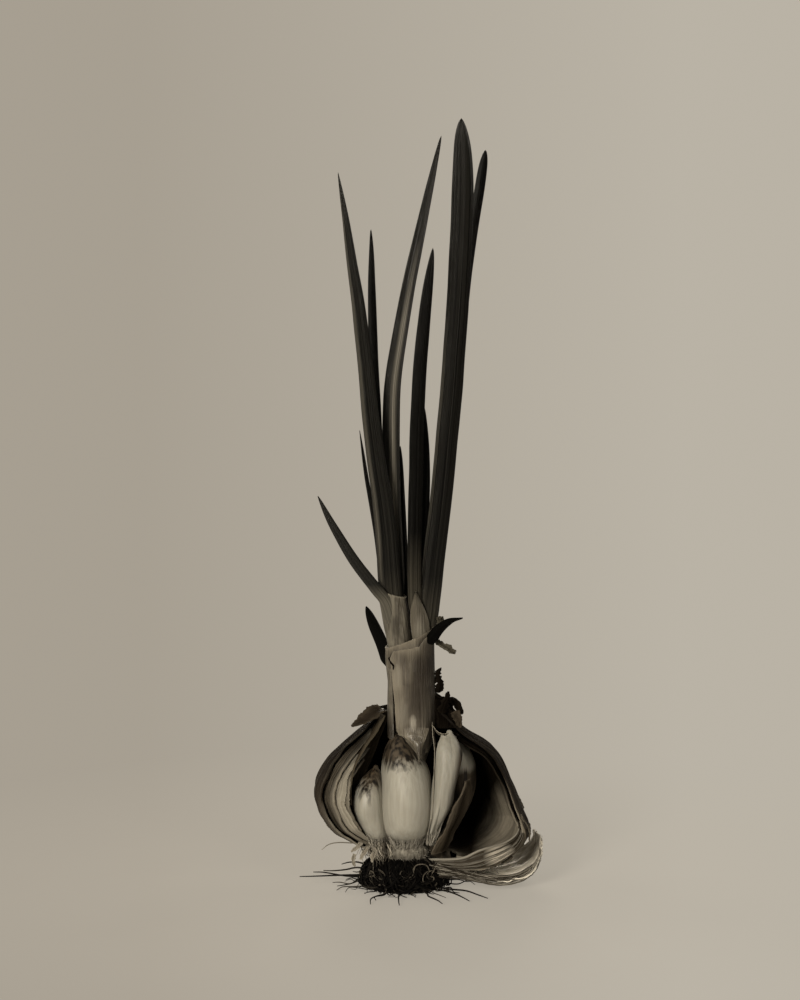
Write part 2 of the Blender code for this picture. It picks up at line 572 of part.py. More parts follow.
def add_shoots(collection):
    """The neck with its two shoots, the leaves in their sockets and the low leaves at the neck."""
    neck = add_body("neck", NECK, "sheath", collection, sides=18, slant=NECK_SLANT)
    left = add_body("left_shoot", LEFT_SHOOT, "sheath", collection, slant=LEFT_SHOOT_SLANT)
    right = add_body("right_shoot", RIGHT_SHOOT, "sheath", collection, slant=RIGHT_SHOOT_SLANT)
    seats = [
        add_body("seat", table, "sheath", collection, slant=slant, grow=GAP)
        for table, slant in ((LEFT_SHOOT, LEFT_SHOOT_SLANT), (RIGHT_SHOOT, RIGHT_SHOOT_SLANT))
    ]
    combine(neck, seats, "DIFFERENCE")
    carve(neck, [INNER_LEAF, RIGHT_LEAVES[1]], collection)
    combine(left, [add_blade(SIDE_BLADE, "leaf", collection)], "UNION")
    carve(left, LEFT_LEAVES + [INNER_LEAF], collection)
    carve(right, RIGHT_LEAVES + [INNER_LEAF], collection)
    for leaf in LEFT_LEAVES + [INNER_LEAF] + RIGHT_LEAVES:
        add_blade(leaf, "leaf", collection)
    for leaf in LOW_LEAVES:
        low = add_blade(leaf, "leaf", collection, SHORT_BLADE_STEPS)
        seat = add_body("seat", NECK, "leaf", collection, sides=18, slant=NECK_SLANT, grow=GAP)
        combine(low, [seat], "DIFFERENCE")


def main():
    clear_scene()
    onion = bpy.data.collections.new("sprouted_onion")
    bpy.context.scene.collection.children.link(onion)
    add_roots(onion)
    add_bulb(onion)
    add_shoots(onion)


main()
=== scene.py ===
# The looks of a withered, sprouted onion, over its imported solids. Each solid is replaced by a finer piece of
# the same form: ribbed and ragged dry skins, veined stems and leaves, and a tuft of single roots.
# Metres, +Z up. The onion is seen from -Y.

import math
import random
from collections import namedtuple

import bpy
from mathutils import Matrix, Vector, noise


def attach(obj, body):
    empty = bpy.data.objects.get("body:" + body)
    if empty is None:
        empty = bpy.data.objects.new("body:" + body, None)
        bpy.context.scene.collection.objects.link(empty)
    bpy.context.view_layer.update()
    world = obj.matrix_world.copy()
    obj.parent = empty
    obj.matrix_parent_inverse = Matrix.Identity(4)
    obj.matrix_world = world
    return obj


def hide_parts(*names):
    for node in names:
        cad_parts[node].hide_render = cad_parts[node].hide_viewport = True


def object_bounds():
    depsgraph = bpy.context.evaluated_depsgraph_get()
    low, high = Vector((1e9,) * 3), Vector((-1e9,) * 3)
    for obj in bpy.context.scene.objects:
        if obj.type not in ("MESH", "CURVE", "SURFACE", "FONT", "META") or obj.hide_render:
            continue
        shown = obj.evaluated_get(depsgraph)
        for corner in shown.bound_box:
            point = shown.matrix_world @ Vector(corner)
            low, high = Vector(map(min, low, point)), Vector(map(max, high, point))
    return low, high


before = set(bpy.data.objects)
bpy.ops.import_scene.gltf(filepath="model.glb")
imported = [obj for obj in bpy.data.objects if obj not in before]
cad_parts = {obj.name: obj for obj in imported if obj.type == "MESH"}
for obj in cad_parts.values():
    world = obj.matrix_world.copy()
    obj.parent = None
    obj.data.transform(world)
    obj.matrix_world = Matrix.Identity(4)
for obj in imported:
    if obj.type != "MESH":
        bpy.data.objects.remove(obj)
CAD_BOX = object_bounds()

# Camera and light, from the photo's view: nine degrees down, through a long lens
CAMERA_DISTANCE = 1.2
CAMERA_ELEVATION = math.radians(9.0)
CAMERA_TARGET = Vector((-0.00175, 0, 0.1389))
PICTURE_HEIGHT = 0.350  # metres across the picture's long side, at the target
WALL_COLOUR = (0.402, 0.361, 0.301)
GROUND_COLOUR = (0.62, 0.60, 0.57)

# Bulb: outlines of the dry skin from plate to neck, as (radius, height), about an upright axis
BULB_AXIS_X = 0.003
LEFT_OUTLINE = [
    (0.0132, 0.0122), (0.0168, 0.0138), (0.0225, 0.0170), (0.0292, 0.0218), (0.0340, 0.0300),
    (0.0349, 0.0370), (0.0306, 0.0455), (0.0216, 0.0543), (0.0105, 0.0640),
]
RIGHT_OUTLINE = [
    (0.0105, 0.0095), (0.0200, 0.0078), (0.0300, 0.0096), (0.0380, 0.0142), (0.0410, 0.0208),
    (0.0382, 0.0285), (0.0345, 0.0385), (0.0292, 0.0490), (0.0190, 0.0562), (0.0105, 0.0640),
]
BACK_OUTLINE = [
    (0.0110, 0.0105), (0.0170, 0.0080), (0.0280, 0.0105), (0.0350, 0.0195), (0.0365, 0.0310),
    (0.0335, 0.0430), (0.0255, 0.0530), (0.0165, 0.0590), (0.0105, 0.0640),
]
FALLEN_OUTLINE = [
    (0.0135, 0.0068), (0.0190, 0.0056), (0.0250, 0.0042), (0.0320, 0.0030), (0.0400, 0.0046),
    (0.0448, 0.0095), (0.0460, 0.0165),
]
SHEATH_OUTLINE = [
    (0.0128, 0.0140), (0.0145, 0.0180), (0.0160, 0.0220), (0.0188, 0.0270), (0.0208, 0.0325),
    (0.0216, 0.0370), (0.0212, 0.0405),
]
# A scale covers the turn from `start` to `end` degrees, where 0 is the front and 90 the right, each given
# at the plate, at mid height and at the neck
Scale = namedtuple("Scale", "name inset start end low high ragged")
OUTER_SKIN = Scale("outer_skin", 0.0, (54, 80, 68), (294, 290, 280), 0.0, 1.0, 2.0)
LEFT_SCALES = [
    Scale("left_scale_outer", 0.0020, (216, 214, 236), (298, 301, 288), 0.02, 0.93, 1.5),
    Scale("left_scale_middle", 0.0039, (228, 226, 244), (299, 308, 290), 0.04, 0.89, 1.5),
    Scale("left_scale_inner", 0.0053, (240, 238, 250), (296, 309, 292), 0.31, 0.85, 1.0),
]
RIGHT_SCALE = Scale("right_scale", 0.0030, (84, 86, 76), (158, 158, 140), 0.05, 0.90, 1.5)
FALLEN_SCALE = Scale("fallen_scale", 0.0, (60, 76, 86), (112, 124, 110), 0.0, 1.0, 2.0)
LOBE_SHEATH = Scale("lobe_sheath", 0.0, (30, 42, 60), (68, 72, 72), 0.0, 1.0, 1.0)

# Round bodies as rings: height, middle x, middle y, half width, half depth
BASAL_PLATE = [
    (0.0045, 0.0002, -0.0012, 0.0066, 0.0064), (0.0060, 0.0002, -0.0014, 0.0084, 0.0082),
    (0.0100, 0.0002, -0.0016, 0.0092, 0.0090), (0.0140, 0.0003, -0.0022, 0.0084, 0.0088),
    (0.0172, 0.0004, -0.0030, 0.0064, 0.0075), (0.0182, 0.0004, -0.0036, 0.0046, 0.0055),
]
HEART_LOBE = [
    (0.0190, 0.0004, -0.0062, 0.0056, 0.0060), (0.0214, 0.0004, -0.0068, 0.0077, 0.0096),
    (0.0250, 0.0004, -0.0070, 0.0088, 0.0126), (0.0300, 0.0004, -0.0068, 0.0092, 0.0142),
    (0.0360, 0.0004, -0.0064, 0.0092, 0.0148), (0.0425, 0.0002, -0.0060, 0.0088, 0.0140),
    (0.0478, -0.0004, -0.0056, 0.0074, 0.0118), (0.0520, -0.0012, -0.0052, 0.0050, 0.0092),
    (0.0552, -0.0016, -0.0050, 0.0024, 0.0060),
]
LEFT_LOBE = [
    (0.0192, -0.0098, -0.0070, 0.0026, 0.0042), (0.0208, -0.0099, -0.0076, 0.0038, 0.0062),
    (0.0243, -0.0112, -0.0080, 0.0048, 0.0082), (0.0290, -0.0126, -0.0082, 0.0055, 0.0094),
    (0.0326, -0.0130, -0.0082, 0.0057, 0.0094), (0.0365, -0.0128, -0.0080, 0.0052, 0.0086),
    (0.0400, -0.0119, -0.0076, 0.0040, 0.0068), (0.0430, -0.0108, -0.0072, 0.0022, 0.0040),
    (0.0444, -0.0103, -0.0070, 0.0010, 0.0020),
]
RIGHT_LOBE = [
    (0.0196, 0.0090, -0.0078, 0.0014, 0.0026), (0.0231, 0.0096, -0.0084, 0.0022, 0.0044),
    (0.0275, 0.0112, -0.0090, 0.0033, 0.0062), (0.0325, 0.0126, -0.0094, 0.0041, 0.0072),
    (0.0369, 0.0133, -0.0094, 0.0041, 0.0076), (0.0423, 0.0144, -0.0092, 0.0044, 0.0076),
    (0.0478, 0.0155, -0.0088, 0.0046, 0.0068), (0.0513, 0.0160, -0.0084, 0.0040, 0.0056),
    (0.0545, 0.0160, -0.0080, 0.0026, 0.0038), (0.0572, 0.0156, -0.0078, 0.0011, 0.0016),
]
REAR_LOBE = [
    (0.0210, 0.0156, 0.0068, 0.0030, 0.0050), (0.0260, 0.0176, 0.0074, 0.0048, 0.0078),
    (0.0340, 0.0196, 0.0074, 0.0056, 0.0090), (0.0420, 0.0203, 0.0066, 0.0050, 0.0084),
    (0.0480, 0.0194, 0.0052, 0.0038, 0.0064), (0.0520, 0.0176, 0.0040, 0.0020, 0.0036),
]
NECK = [
    (0.0455, 0.0052, -0.0060, 0.0016, 0.0020), (0.0500, 0.0042, -0.0042, 0.0044, 0.0048),
    (0.0550, 0.0035, -0.0030, 0.0066, 0.0062), (0.0600, 0.0029, -0.0022, 0.0076, 0.0070),
    (0.0675, 0.0026, -0.0018, 0.0080, 0.0072), (0.0775, 0.0020, -0.0015, 0.0083, 0.0072),
    (0.0850, 0.0016, -0.0012, 0.0085, 0.0070), (0.0902, 0.0016, -0.0010, 0.0084, 0.0067),
]
NECK_SLANT = 0.42
LEFT_SHOOT = [
    (0.0770, -0.0014, -0.0006, 0.0028, 0.0028), (0.0830, -0.0016, -0.0006, 0.0038, 0.0042),
    (0.0893, -0.0020, -0.0004, 0.0045, 0.0047), (0.0932, -0.0026, -0.0002, 0.0047, 0.0048),
    (0.0992, -0.0035, 0.0000, 0.0049, 0.0048), (0.1030, -0.0042, 0.0000, 0.0050, 0.0047),
    (0.1060, -0.0046, 0.0000, 0.0049, 0.0046),
]
LEFT_SHOOT_SLANT = -0.30
RIGHT_SHOOT = [
    (0.0790, 0.0050, -0.0004, 0.0018, 0.0026), (0.0850, 0.0053, -0.0004, 0.0024, 0.0036),
    (0.0900, 0.0055, -0.0002, 0.0028, 0.0041), (0.0945, 0.0054, 0.0000, 0.0029, 0.0042),
    (0.0990, 0.0048, 0.0000, 0.0029, 0.0040), (0.1032, 0.0045, 0.0000, 0.0025, 0.0036),
]
RIGHT_SHOOT_SLANT = -1.0

# Leaf blades: their path from foot to tip, and how they widen and taper along it
Leaf = namedtuple("Leaf", "name path width thickness facing fold foot sharp taper")
TALL_LEAVES = [
    Leaf("leaf_left_tall",
         [(-0.0046, -0.0014, 0.0965), (-0.0052, -0.0018, 0.1060), (-0.0072, -0.0026, 0.1323),
          (-0.0111, -0.0038, 0.1607), (-0.0156, -0.0050, 0.2027), (-0.0195, -0.0056, 0.2304),
          (-0.0230, -0.0060, 0.2538)],
         0.0092, 0.0017, -12, 0.16, 0.66, 1.35, 0.72),
    Leaf("leaf_left_short",
         [(-0.0054, 0.0030, 0.0955), (-0.0064, 0.0042, 0.1100), (-0.0099, 0.0066, 0.1628),
          (-0.0115, 0.0092, 0.1980), (-0.0119, 0.0120, 0.2328)],
         0.0043, 0.0013, -40, 0.15, 0.60, 7.0, 0.70),
    Leaf("leaf_middle_tall",
         [(-0.0024, 0.0010, 0.0950), (-0.0030, 0.0014, 0.1120), (-0.0043, 0.0020, 0.1400),
          (-0.0046, 0.0026, 0.1680), (-0.0032, 0.0030, 0.1860), (0.0008, 0.0042, 0.2100),
          (0.0064, 0.0052, 0.2375), (0.0126, 0.0060, 0.2656)],
         0.0072, 0.0015, -28, -0.20, 0.40, 2.8, 0.60),
    Leaf("leaf_left_stub",
         [(-0.0064, 0.0010, 0.0940), (-0.0098, 0.0018, 0.1244), (-0.0137, 0.0026, 0.1474),
          (-0.0159, 0.0030, 0.1632)],
         0.0020, 0.0010, -30, 0.10, 0.80, 3.0, 0.80),
    Leaf("leaf_inner",
         [(0.0010, 0.0040, 0.0880), (0.0004, 0.0043, 0.1005), (-0.0006, 0.0048, 0.1204),
          (-0.0013, 0.0054, 0.1390), (-0.0017, 0.0060, 0.1573)],
         0.0034, 0.0012, 10, 0.12, 0.65, 5.0, 0.70),
    Leaf("leaf_middle_dark",
         [(0.0042, -0.0022, 0.0940), (0.0036, -0.0024, 0.1040), (0.0033, -0.0025, 0.1200),
          (0.0038, -0.0025, 0.1464), (0.0047, -0.0030, 0.1781), (0.0066, -0.0035, 0.2025),
          (0.0096, -0.0040, 0.2276)],
         0.0050, 0.0015, 8, 0.14, 0.42, 9.0, 0.65),
    Leaf("leaf_right_tall",
         [(0.0077, -0.0004, 0.0870), (0.0081, -0.0005, 0.0980), (0.0106, -0.0014, 0.1214),
          (0.0140, -0.0028, 0.1535), (0.0167, -0.0044, 0.1855), (0.0187, -0.0060, 0.2166),
          (0.0198, -0.0076, 0.2477), (0.0192, -0.0090, 0.2723)],
         0.0078, 0.0018, 6, 0.14, 0.42, 18.0, 0.70),
    Leaf("leaf_right_rear",
         [(0.0064, 0.0034, 0.0930), (0.0080, 0.0038, 0.1050), (0.0110, 0.0048, 0.1276),
          (0.0165, 0.0070, 0.1733), (0.0220, 0.0100, 0.2221), (0.0260, 0.0114, 0.2482),
          (0.0280, 0.0120, 0.2603)],
         0.0044, 0.0012, -35, 0.15, 0.55, 12.0, 0.60),
    Leaf("leaf_right_short",
         [(0.0046, 0.0008, 0.0940), (0.0054, 0.0012, 0.1060), (0.0063, 0.0018, 0.1240),
          (0.0074, 0.0025, 0.1491), (0.0068, 0.0030, 0.1712)],
         0.0034, 0.0011, 15, 0.12, 0.55, 6.0, 0.60),
    Leaf("leaf_right_inner",
         [(0.0072, 0.0017, 0.0930), (0.0078, 0.0018, 0.1040), (0.0090, 0.0024, 0.1208),
          (0.0106, 0.0030, 0.1421), (0.0112, 0.0036, 0.1573)],
         0.0030, 0.0011, -30, 0.12, 0.55, 3.5, 0.80),
]
SIDE_BLADE = Leaf("side_blade",
                  [(-0.0044, -0.0034, 0.0960), (-0.0068, -0.0042, 0.1035), (-0.0105, -0.0050, 0.1085),
                   (-0.0180, -0.0062, 0.1187), (-0.0247, -0.0074, 0.1303), (-0.0304, -0.0084, 0.1418)],
                  0.0043, 0.0016, 0, 0.10, 1.00, 3.5, 0.70)
LOW_LEAVES = [
    Leaf("leaf_back_low",
         [(-0.0052, 0.0036, 0.0775), (-0.0080, 0.0056, 0.0863), (-0.0111, 0.0072, 0.0932),
          (-0.0138, 0.0080, 0.0996)],
         0.0044, 0.0013, 0, 0.10, 0.30, 4.0, 0.70),
    Leaf("leaf_right_low",
         [(0.0086, -0.0055, 0.0890), (0.0116, -0.0072, 0.0937), (0.0157, -0.0090, 0.0974),
          (0.0202, -0.0100, 0.0988)],
         0.0046, 0.0013, 10, 0.12, 0.75, 2.2, 0.75),
]
DRY_BITS = [
    Leaf("dry_scrap",
         [(0.0104, -0.0008, 0.0888), (0.0124, -0.0016, 0.0876), (0.0152, -0.0026, 0.0862),
          (0.0178, -0.0034, 0.0846)],
         0.0030, 0.0013, 20, 0.25, 0.70, 9.0, 0.60),
    Leaf("dry_curl",
         [(0.0119, 0.0008, 0.0912), (0.0125, 0.0000, 0.0942), (0.0124, -0.0012, 0.0966),
          (0.0117, -0.0024, 0.0972)],
         0.0024, 0.0010, 20, 0.10, 0.80, 9.0, 0.60),
]
TATTERS = [
    Leaf("tatter_left",
         [(-0.0082, -0.0050, 0.0664), (-0.0106, -0.0062, 0.0656), (-0.0145, -0.0074, 0.0630),
          (-0.0190, -0.0086, 0.0606)],
         0.0070, 0.0008, -20, 0.12, 0.80, 2.0, 0.70),
    Leaf("tatter_back_left",
         [(-0.0050, 0.0076, 0.0656), (-0.0088, 0.0114, 0.0646), (-0.0122, 0.0150, 0.0626)],
         0.0080, 0.0008, 215, 0.10, 0.80, 2.5, 0.70),
    Leaf("tatter_back",
         [(0.0040, 0.0092, 0.0690), (0.0050, 0.0125, 0.0690), (0.0062, 0.0160, 0.0676)],
         0.0085, 0.0008, 180, 0.10, 0.80, 2.5, 0.70),
    Leaf("tatter_right",
         [(0.0122, 0.0000, 0.0668), (0.0146, -0.0006, 0.0674), (0.0176, -0.0012, 0.0662),
          (0.0204, -0.0020, 0.0624)],
         0.0068, 0.0008, 30, 0.16, 0.90, 5.0, 0.55),
    Leaf("tatter_upright",
         [(0.0130, -0.0058, 0.0640), (0.0140, -0.0066, 0.0670), (0.0148, -0.0072, 0.0696),
          (0.0152, -0.0078, 0.0722)],
         0.0062, 0.0008, 15, 0.12, 0.95, 1.8, 0.75),
    Leaf("neck_chip",
         [(0.0114, -0.0028, 0.0706), (0.0122, -0.0032, 0.0740), (0.0118, -0.0036, 0.0770),
          (0.0126, -0.0040, 0.0800)],
         0.0026, 0.0010, 25, 0.15, 0.80, 5.0, 0.60),
]

# Root tuft
TUFT_RADIUS = 0.0152
TUFT_HEIGHT = 0.0104
TUFT_MIDDLE = Vector((0.0, -0.0005, 0))
LOOSE_ENDS = [
    (-0.0375, -0.0040, 0.0042), (-0.0290, -0.0010, 0.0056), (-0.0225, -0.0005, 0.0078),
    (-0.0330, 0.0150, 0.0007), (-0.0150, 0.0280, 0.0007), (0.0060, 0.0330, 0.0007),
    (0.0200, 0.0270, 0.0007), (0.0290, -0.0200, 0.0007), (0.0225, -0.0235, 0.0007),
    (0.0130, -0.0270, 0.0007), (-0.0020, -0.0290, 0.0007), (-0.0120, -0.0275, 0.0007),
]


# Curves and shapes

def ease(value):
    value = min(max(value, 0.0), 1.0)
    return value * value * (3 - 2 * value)


def smooth_point(points, t):
    """The point at t from 0 to 1 on a Catmull-Rom curve through the points."""
    place = min(max(t, 0.0), 1.0) * (len(points) - 1)
    k = min(int(place), len(points) - 2)
    u = place - k
    here, after = Vector(points[k]), Vector(points[k + 1])
    before = Vector(points[k - 1]) if k else here * 2 - after
    beyond = Vector(points[k + 2]) if k + 2 < len(points) else after * 2 - here
    return 0.5 * (
        2 * here
        + (after - before) * u
        + (2 * before - 5 * here + 4 * after - beyond) * u * u
        + (3 * here - before - 3 * after + beyond) * u**3
    )


def smooth_value(values, t):
    return smooth_point([(value, 0, 0) for value in values], t).x


def wobble(x, y=0.0, z=0.0):
    """Smooth noise from -1 to 1 at a point, in steps of about one."""
    return noise.noise(Vector((x, y, z)), noise_basis="PERLIN_NEW")


def rough(x, seed, octaves=4):
    """Noise along a torn edge, with finer and finer teeth."""
    return sum(wobble(x * 2.1**k, seed, 7.3 * k) / 1.7**k for k in range(octaves))


# Meshes. Each has UVs that run across and along the piece, and marks for its shader.

def make_piece(name, points, faces, uvs, material, marks, sharp):
    """A named mesh. `uvs` has one pair for each face corner, `marks` one list for each name."""
    mesh = bpy.data.meshes.new(name)
    mesh.from_pydata(points, [], faces)
    layer = mesh.uv_layers.new(name="UVMap")
    layer.data.foreach_set("uv", [value for pair in uvs for value in pair])
    for mark, values in marks.items():
        mesh.attributes.new(mark, "FLOAT", "POINT").data.foreach_set("value", values)
    mesh.shade_smooth()
    mesh.set_sharp_from_angle(angle=math.radians(sharp))
    mesh.materials.append(material)
    made = bpy.data.objects.new(name, mesh)
    bpy.context.scene.collection.objects.link(made)
    return made


class Patchwork:
    """Collects tubes and sheets into one mesh."""

    def __init__(self):
        self.points = []
        self.faces = []
        self.uvs = []
        self.marks = {"inner": [], "rim": [], "tone": []}

    def note(self, inner=0.0, rim=0.0, tone=0.5):
        """The marks of the point that was added last."""
        for name, value in (("inner", inner), ("rim", rim), ("tone", tone)):
            self.marks[name].append(value)

    def add_tube(self, rings, lengths, tip=None, tone=0.5, closed=True, inner=None, rim=None):
        """A tube through rings of points. `lengths` are the distances along it."""
        first = len(self.points)
        sides = len(rings[0])
        inner = inner or [0.0] * len(rings)
        rim = rim or [0.0] * len(rings)
        for row, ring in enumerate(rings):
            for point in ring:
                self.points.append(tuple(point))
                self.note(inner=inner[row], rim=rim[row], tone=tone)
        for row in range(len(rings) - 1):
            near, far = lengths[row] * 10, lengths[row + 1] * 10
            low, high = first + row * sides, first + (row + 1) * sides
            for k in range(sides):
                after = (k + 1) % sides
                left, right = k / sides, (k + 1) / sides
                self.faces.append((low + k, low + after, high + after, high + k))
                self.uvs.extend(((left, near), (right, near), (right, far), (left, far)))
        if closed:
            self.close(first, rings[0], None, lengths[0], inner[0], tone, True)
            self.close(first + (len(rings) - 1) * sides, rings[-1], tip, lengths[-1], inner[-1], tone, False)

    def close(self, base, ring, tip, length, inner, tone, is_foot):
        """A fan of faces over one end of a tube."""
        sides = len(ring)
        middle = len(self.points)
        self.points.append(tuple(tip or sum((Vector(point) for point in ring), Vector()) / sides))
        self.note(inner=inner, tone=tone)
        for k in range(sides):
            after = (k + 1) % sides
            left, right = k / sides, (k + 1) / sides
            corners = [(base + k, left), (base + after, right), (middle, (left + right) / 2)]
            if is_foot:
                corners.reverse()
            self.faces.append(tuple(index for index, across in corners))
            self.uvs.extend((across, length * 10) for index, across in corners)

    def add_sheet(self, point_at, columns, rows, thickness, across, along, behind, tone=0.5):
        """A sheet of some thickness. `point_at` gives its face for a across and b along, both 0 to 1.
        Its back looks towards the point `behind`."""
        first = len(self.points)
        grid = [[point_at(k / columns, j / rows) for k in range(columns + 1)] for j in range(rows + 1)]
        wide = columns + 1
        backs = []
        for j in range(rows + 1):
            for k in range(columns + 1):
                here = grid[j][k]
                over = grid[j][min(k + 1, columns)] - grid[j][max(k - 1, 0)]
                up = grid[min(j + 1, rows)][k] - grid[max(j - 1, 0)][k]
                normal = over.cross(up)
                normal = normal.normalized() if normal.length > 1e-12 else Vector((0, 0, 1))
                if normal.dot(here - behind) < 0:
                    normal.negate()
                depth = thickness(k / columns, j / rows) if callable(thickness) else thickness
                backs.append(here - normal * depth)
        for layer, inner in ((sum(grid, []), 0.0), (backs, 1.0)):
            for n, point in enumerate(layer):
                a, b = (n % wide) / columns, (n // wide) / rows
                edge = min(min(a, 1 - a) * across, min(b, 1 - b) * along)
                self.points.append(tuple(point))
                self.note(inner=inner, rim=math.exp(-edge / 0.0016), tone=tone)
        size = wide * (rows + 1)
        middle = grid[rows // 2][columns // 2]
        over = grid[rows // 2][columns // 2 + 1] - middle
        up = grid[rows // 2 + 1][columns // 2] - middle
        outside = over.cross(up).dot(middle - behind) > 0

        def face(corners, pairs):
            self.faces.append(tuple(corners if outside else corners[::-1]))
            self.uvs.extend(pairs if outside else pairs[::-1])

        def pair(k, j):
            return (k / columns * across * 10, j / rows * along * 10)

        for j in range(rows):
            for k in range(columns):
                near = first + j * wide + k
                far = near + wide
                pairs = [pair(k, j), pair(k + 1, j), pair(k + 1, j + 1), pair(k, j + 1)]
                face([near, near + 1, far + 1, far], pairs)
                face([near + size, far + size, far + 1 + size, near + 1 + size],
                     [pairs[0], pairs[3], pairs[2], pairs[1]])
        border = [(k, 0) for k in range(columns)] + [(columns, j) for j in range(rows)]
        border += [(columns - k, rows) for k in range(columns)] + [(0, rows - j) for j in range(rows)]
        for (k, j), (m, n) in zip(border, border[1:] + border[:1]):
            one, two = first + j * wide + k, first + n * wide + m
            face([one, one + size, two + size, two], [pair(k, j), pair(k, j), pair(m, n), pair(m, n)])

    def finish(self, name, material, nodes=(), sharp=60):
        """The mesh as one piece. It takes its finish from the slot and stands for the solids."""
        label = name + "_look" if nodes else name
        piece = make_piece(label, self.points, self.faces, self.uvs, material, self.marks, sharp)
        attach(piece, "root")
        if nodes:
            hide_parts(*nodes)
        return piece


# Round bodies: lobes, plate, stems. `turn` goes round from the front, in degrees.

def side_point(table, turn, t, out=0.0, slant=0.0):
    """A point on a body's side at t from foot to head, raised from it by `out`."""
    height, x, y, half_width, half_depth = (smooth_value([row[k] for row in table], t) for k in range(5))
    share = (height - table[0][0]) / (table[-1][0] - table[0][0])
    dx = math.sin(math.radians(turn)) * (half_width + out)
    dy = -math.cos(math.radians(turn)) * (half_depth + out)
    return Vector((x + dx, y + dy, height + slant * dx * share**3))


def t_at_height(table, turn, height, slant=0.0):
    """Where on a body's side the height is reached."""
    low, high = 0.0, 1.0
    for _ in range(18):
        middle = (low + high) / 2
        if side_point(table, turn, middle, 0.0, slant).z < height:
            low = middle
        else:
            high = middle
    return low


def body_ring(table, t, sides, slant=0.0, out=None):
    """One ring of a body. `out` gives how far a point stands off, from its turn and t."""
    turns = [180 + 360 * k / sides for k in range(sides)]
    return [side_point(table, turn, t, out(turn, t) if out else 0.0, slant) for turn in turns]


def dome(ring, reach, way):
    """Rings that close a body's end in a low dome."""
    middle = sum(ring, Vector()) / len(ring)
    rings = []
    for step in (0.35, 0.62, 0.82, 0.94):
        shrink = math.sqrt(1 - step * step)
        lift = Vector((0, 0, way * reach * step))
        rings.append([middle + (point - middle) * shrink + lift for point in ring])
    return rings


def bumps(fine, coarse, seed, grain=7.0):
    """Shallow lengthwise ridges and broad dents for a round body."""
    def out(turn, t):
        x, y = math.sin(math.radians(turn)), math.cos(math.radians(turn))
        waist = math.sin(math.pi * min(max(t, 0.02), 0.98)) ** 0.6
        ridge = fine * wobble(x * grain + seed, y * grain, t * 1.2)
        return (ridge + coarse * wobble(x * 1.6 + seed, y * 1.6, t * 3.2)) * waist
    return out


def front_of(table, x, z):
    """How far towards the front a body's side lies at a place across it and up it."""
    t = t_at_height(table, 0, z)
    columns = ([row[k] for row in table] for k in (1, 2, 3, 4))
    middle, depth, half_width, half_depth = (smooth_value(column, t) for column in columns)
    share = min(max((x - middle) / half_width, -1.0), 1.0)
    return depth - half_depth * math.sqrt(1 - share * share)


def add_body(work, table, rows, sides, slant=0.0, out=None, domes=(0.0, 0.0), open_top=0.0, wall=0.0005):
    """A round body through its table. With `open_top` its head is a mouth of that depth, as a share."""
    def with_bead(turn, t):
        bead = 0.00030 * math.exp(-(1 - t) * 45) if open_top else 0.0
        return (out(turn, t) if out else 0.0) + bead

    rings = [body_ring(table, j / rows, sides, slant, with_bead) for j in range(rows + 1)]
    lengths = [table[0][0] + (table[-1][0] - table[0][0]) * j / rows for j in range(rows + 1)]
    inner = [0.0] * len(rings)
    rim = [math.exp(-(1 - j / rows) * 40) if open_top else 0.0 for j in range(rows + 1)]
    if domes[0]:
        low = dome(rings[0], domes[0], -1)[::-1]
        rings, lengths = low + rings, [lengths[0]] * len(low) + lengths
        inner, rim = [0.0] * len(low) + inner, [0.0] * len(low) + rim
    if domes[1]:
        high = dome(rings[-1], domes[1], 1)
        rings, lengths = rings + high, lengths + [lengths[-1]] * len(high)
        inner, rim = inner + [0.0] * len(high), rim + [0.0] * len(high)
    if open_top:
        for step in range(10):
            t = 1 - open_top * step / 9
            rings.append(body_ring(table, t, sides, slant, lambda turn, t: -wall * (1 + step * 0.12)))
            lengths.append(lengths[-1] - 0.001)
            inner.append(min(step / 2, 1.0))
            rim.append(1.0 if step == 0 else 0.0)
    work.add_tube(rings, lengths, inner=inner, rim=rim)


# Blades: leaves and torn strips

def blade_width(leaf, t):
    rise = ease(t / 0.16)
    return (leaf.foot + (1 - leaf.foot) * rise) * max(1 - t**leaf.sharp, 0.0) ** leaf.taper


def blade_frame(leaf, t):
    """The blade's middle, its sideways and its outward direction at t, and its share of full width."""
    turn = math.radians(leaf.facing)
    across = Vector((math.cos(turn), math.sin(turn), 0))
    middle = smooth_point(leaf.path, t)
    along = (smooth_point(leaf.path, t + 0.01) - smooth_point(leaf.path, t - 0.01)).normalized()
    side = (across - along * across.dot(along)).normalized()
    return middle, side, side.cross(along), blade_width(leaf, t)


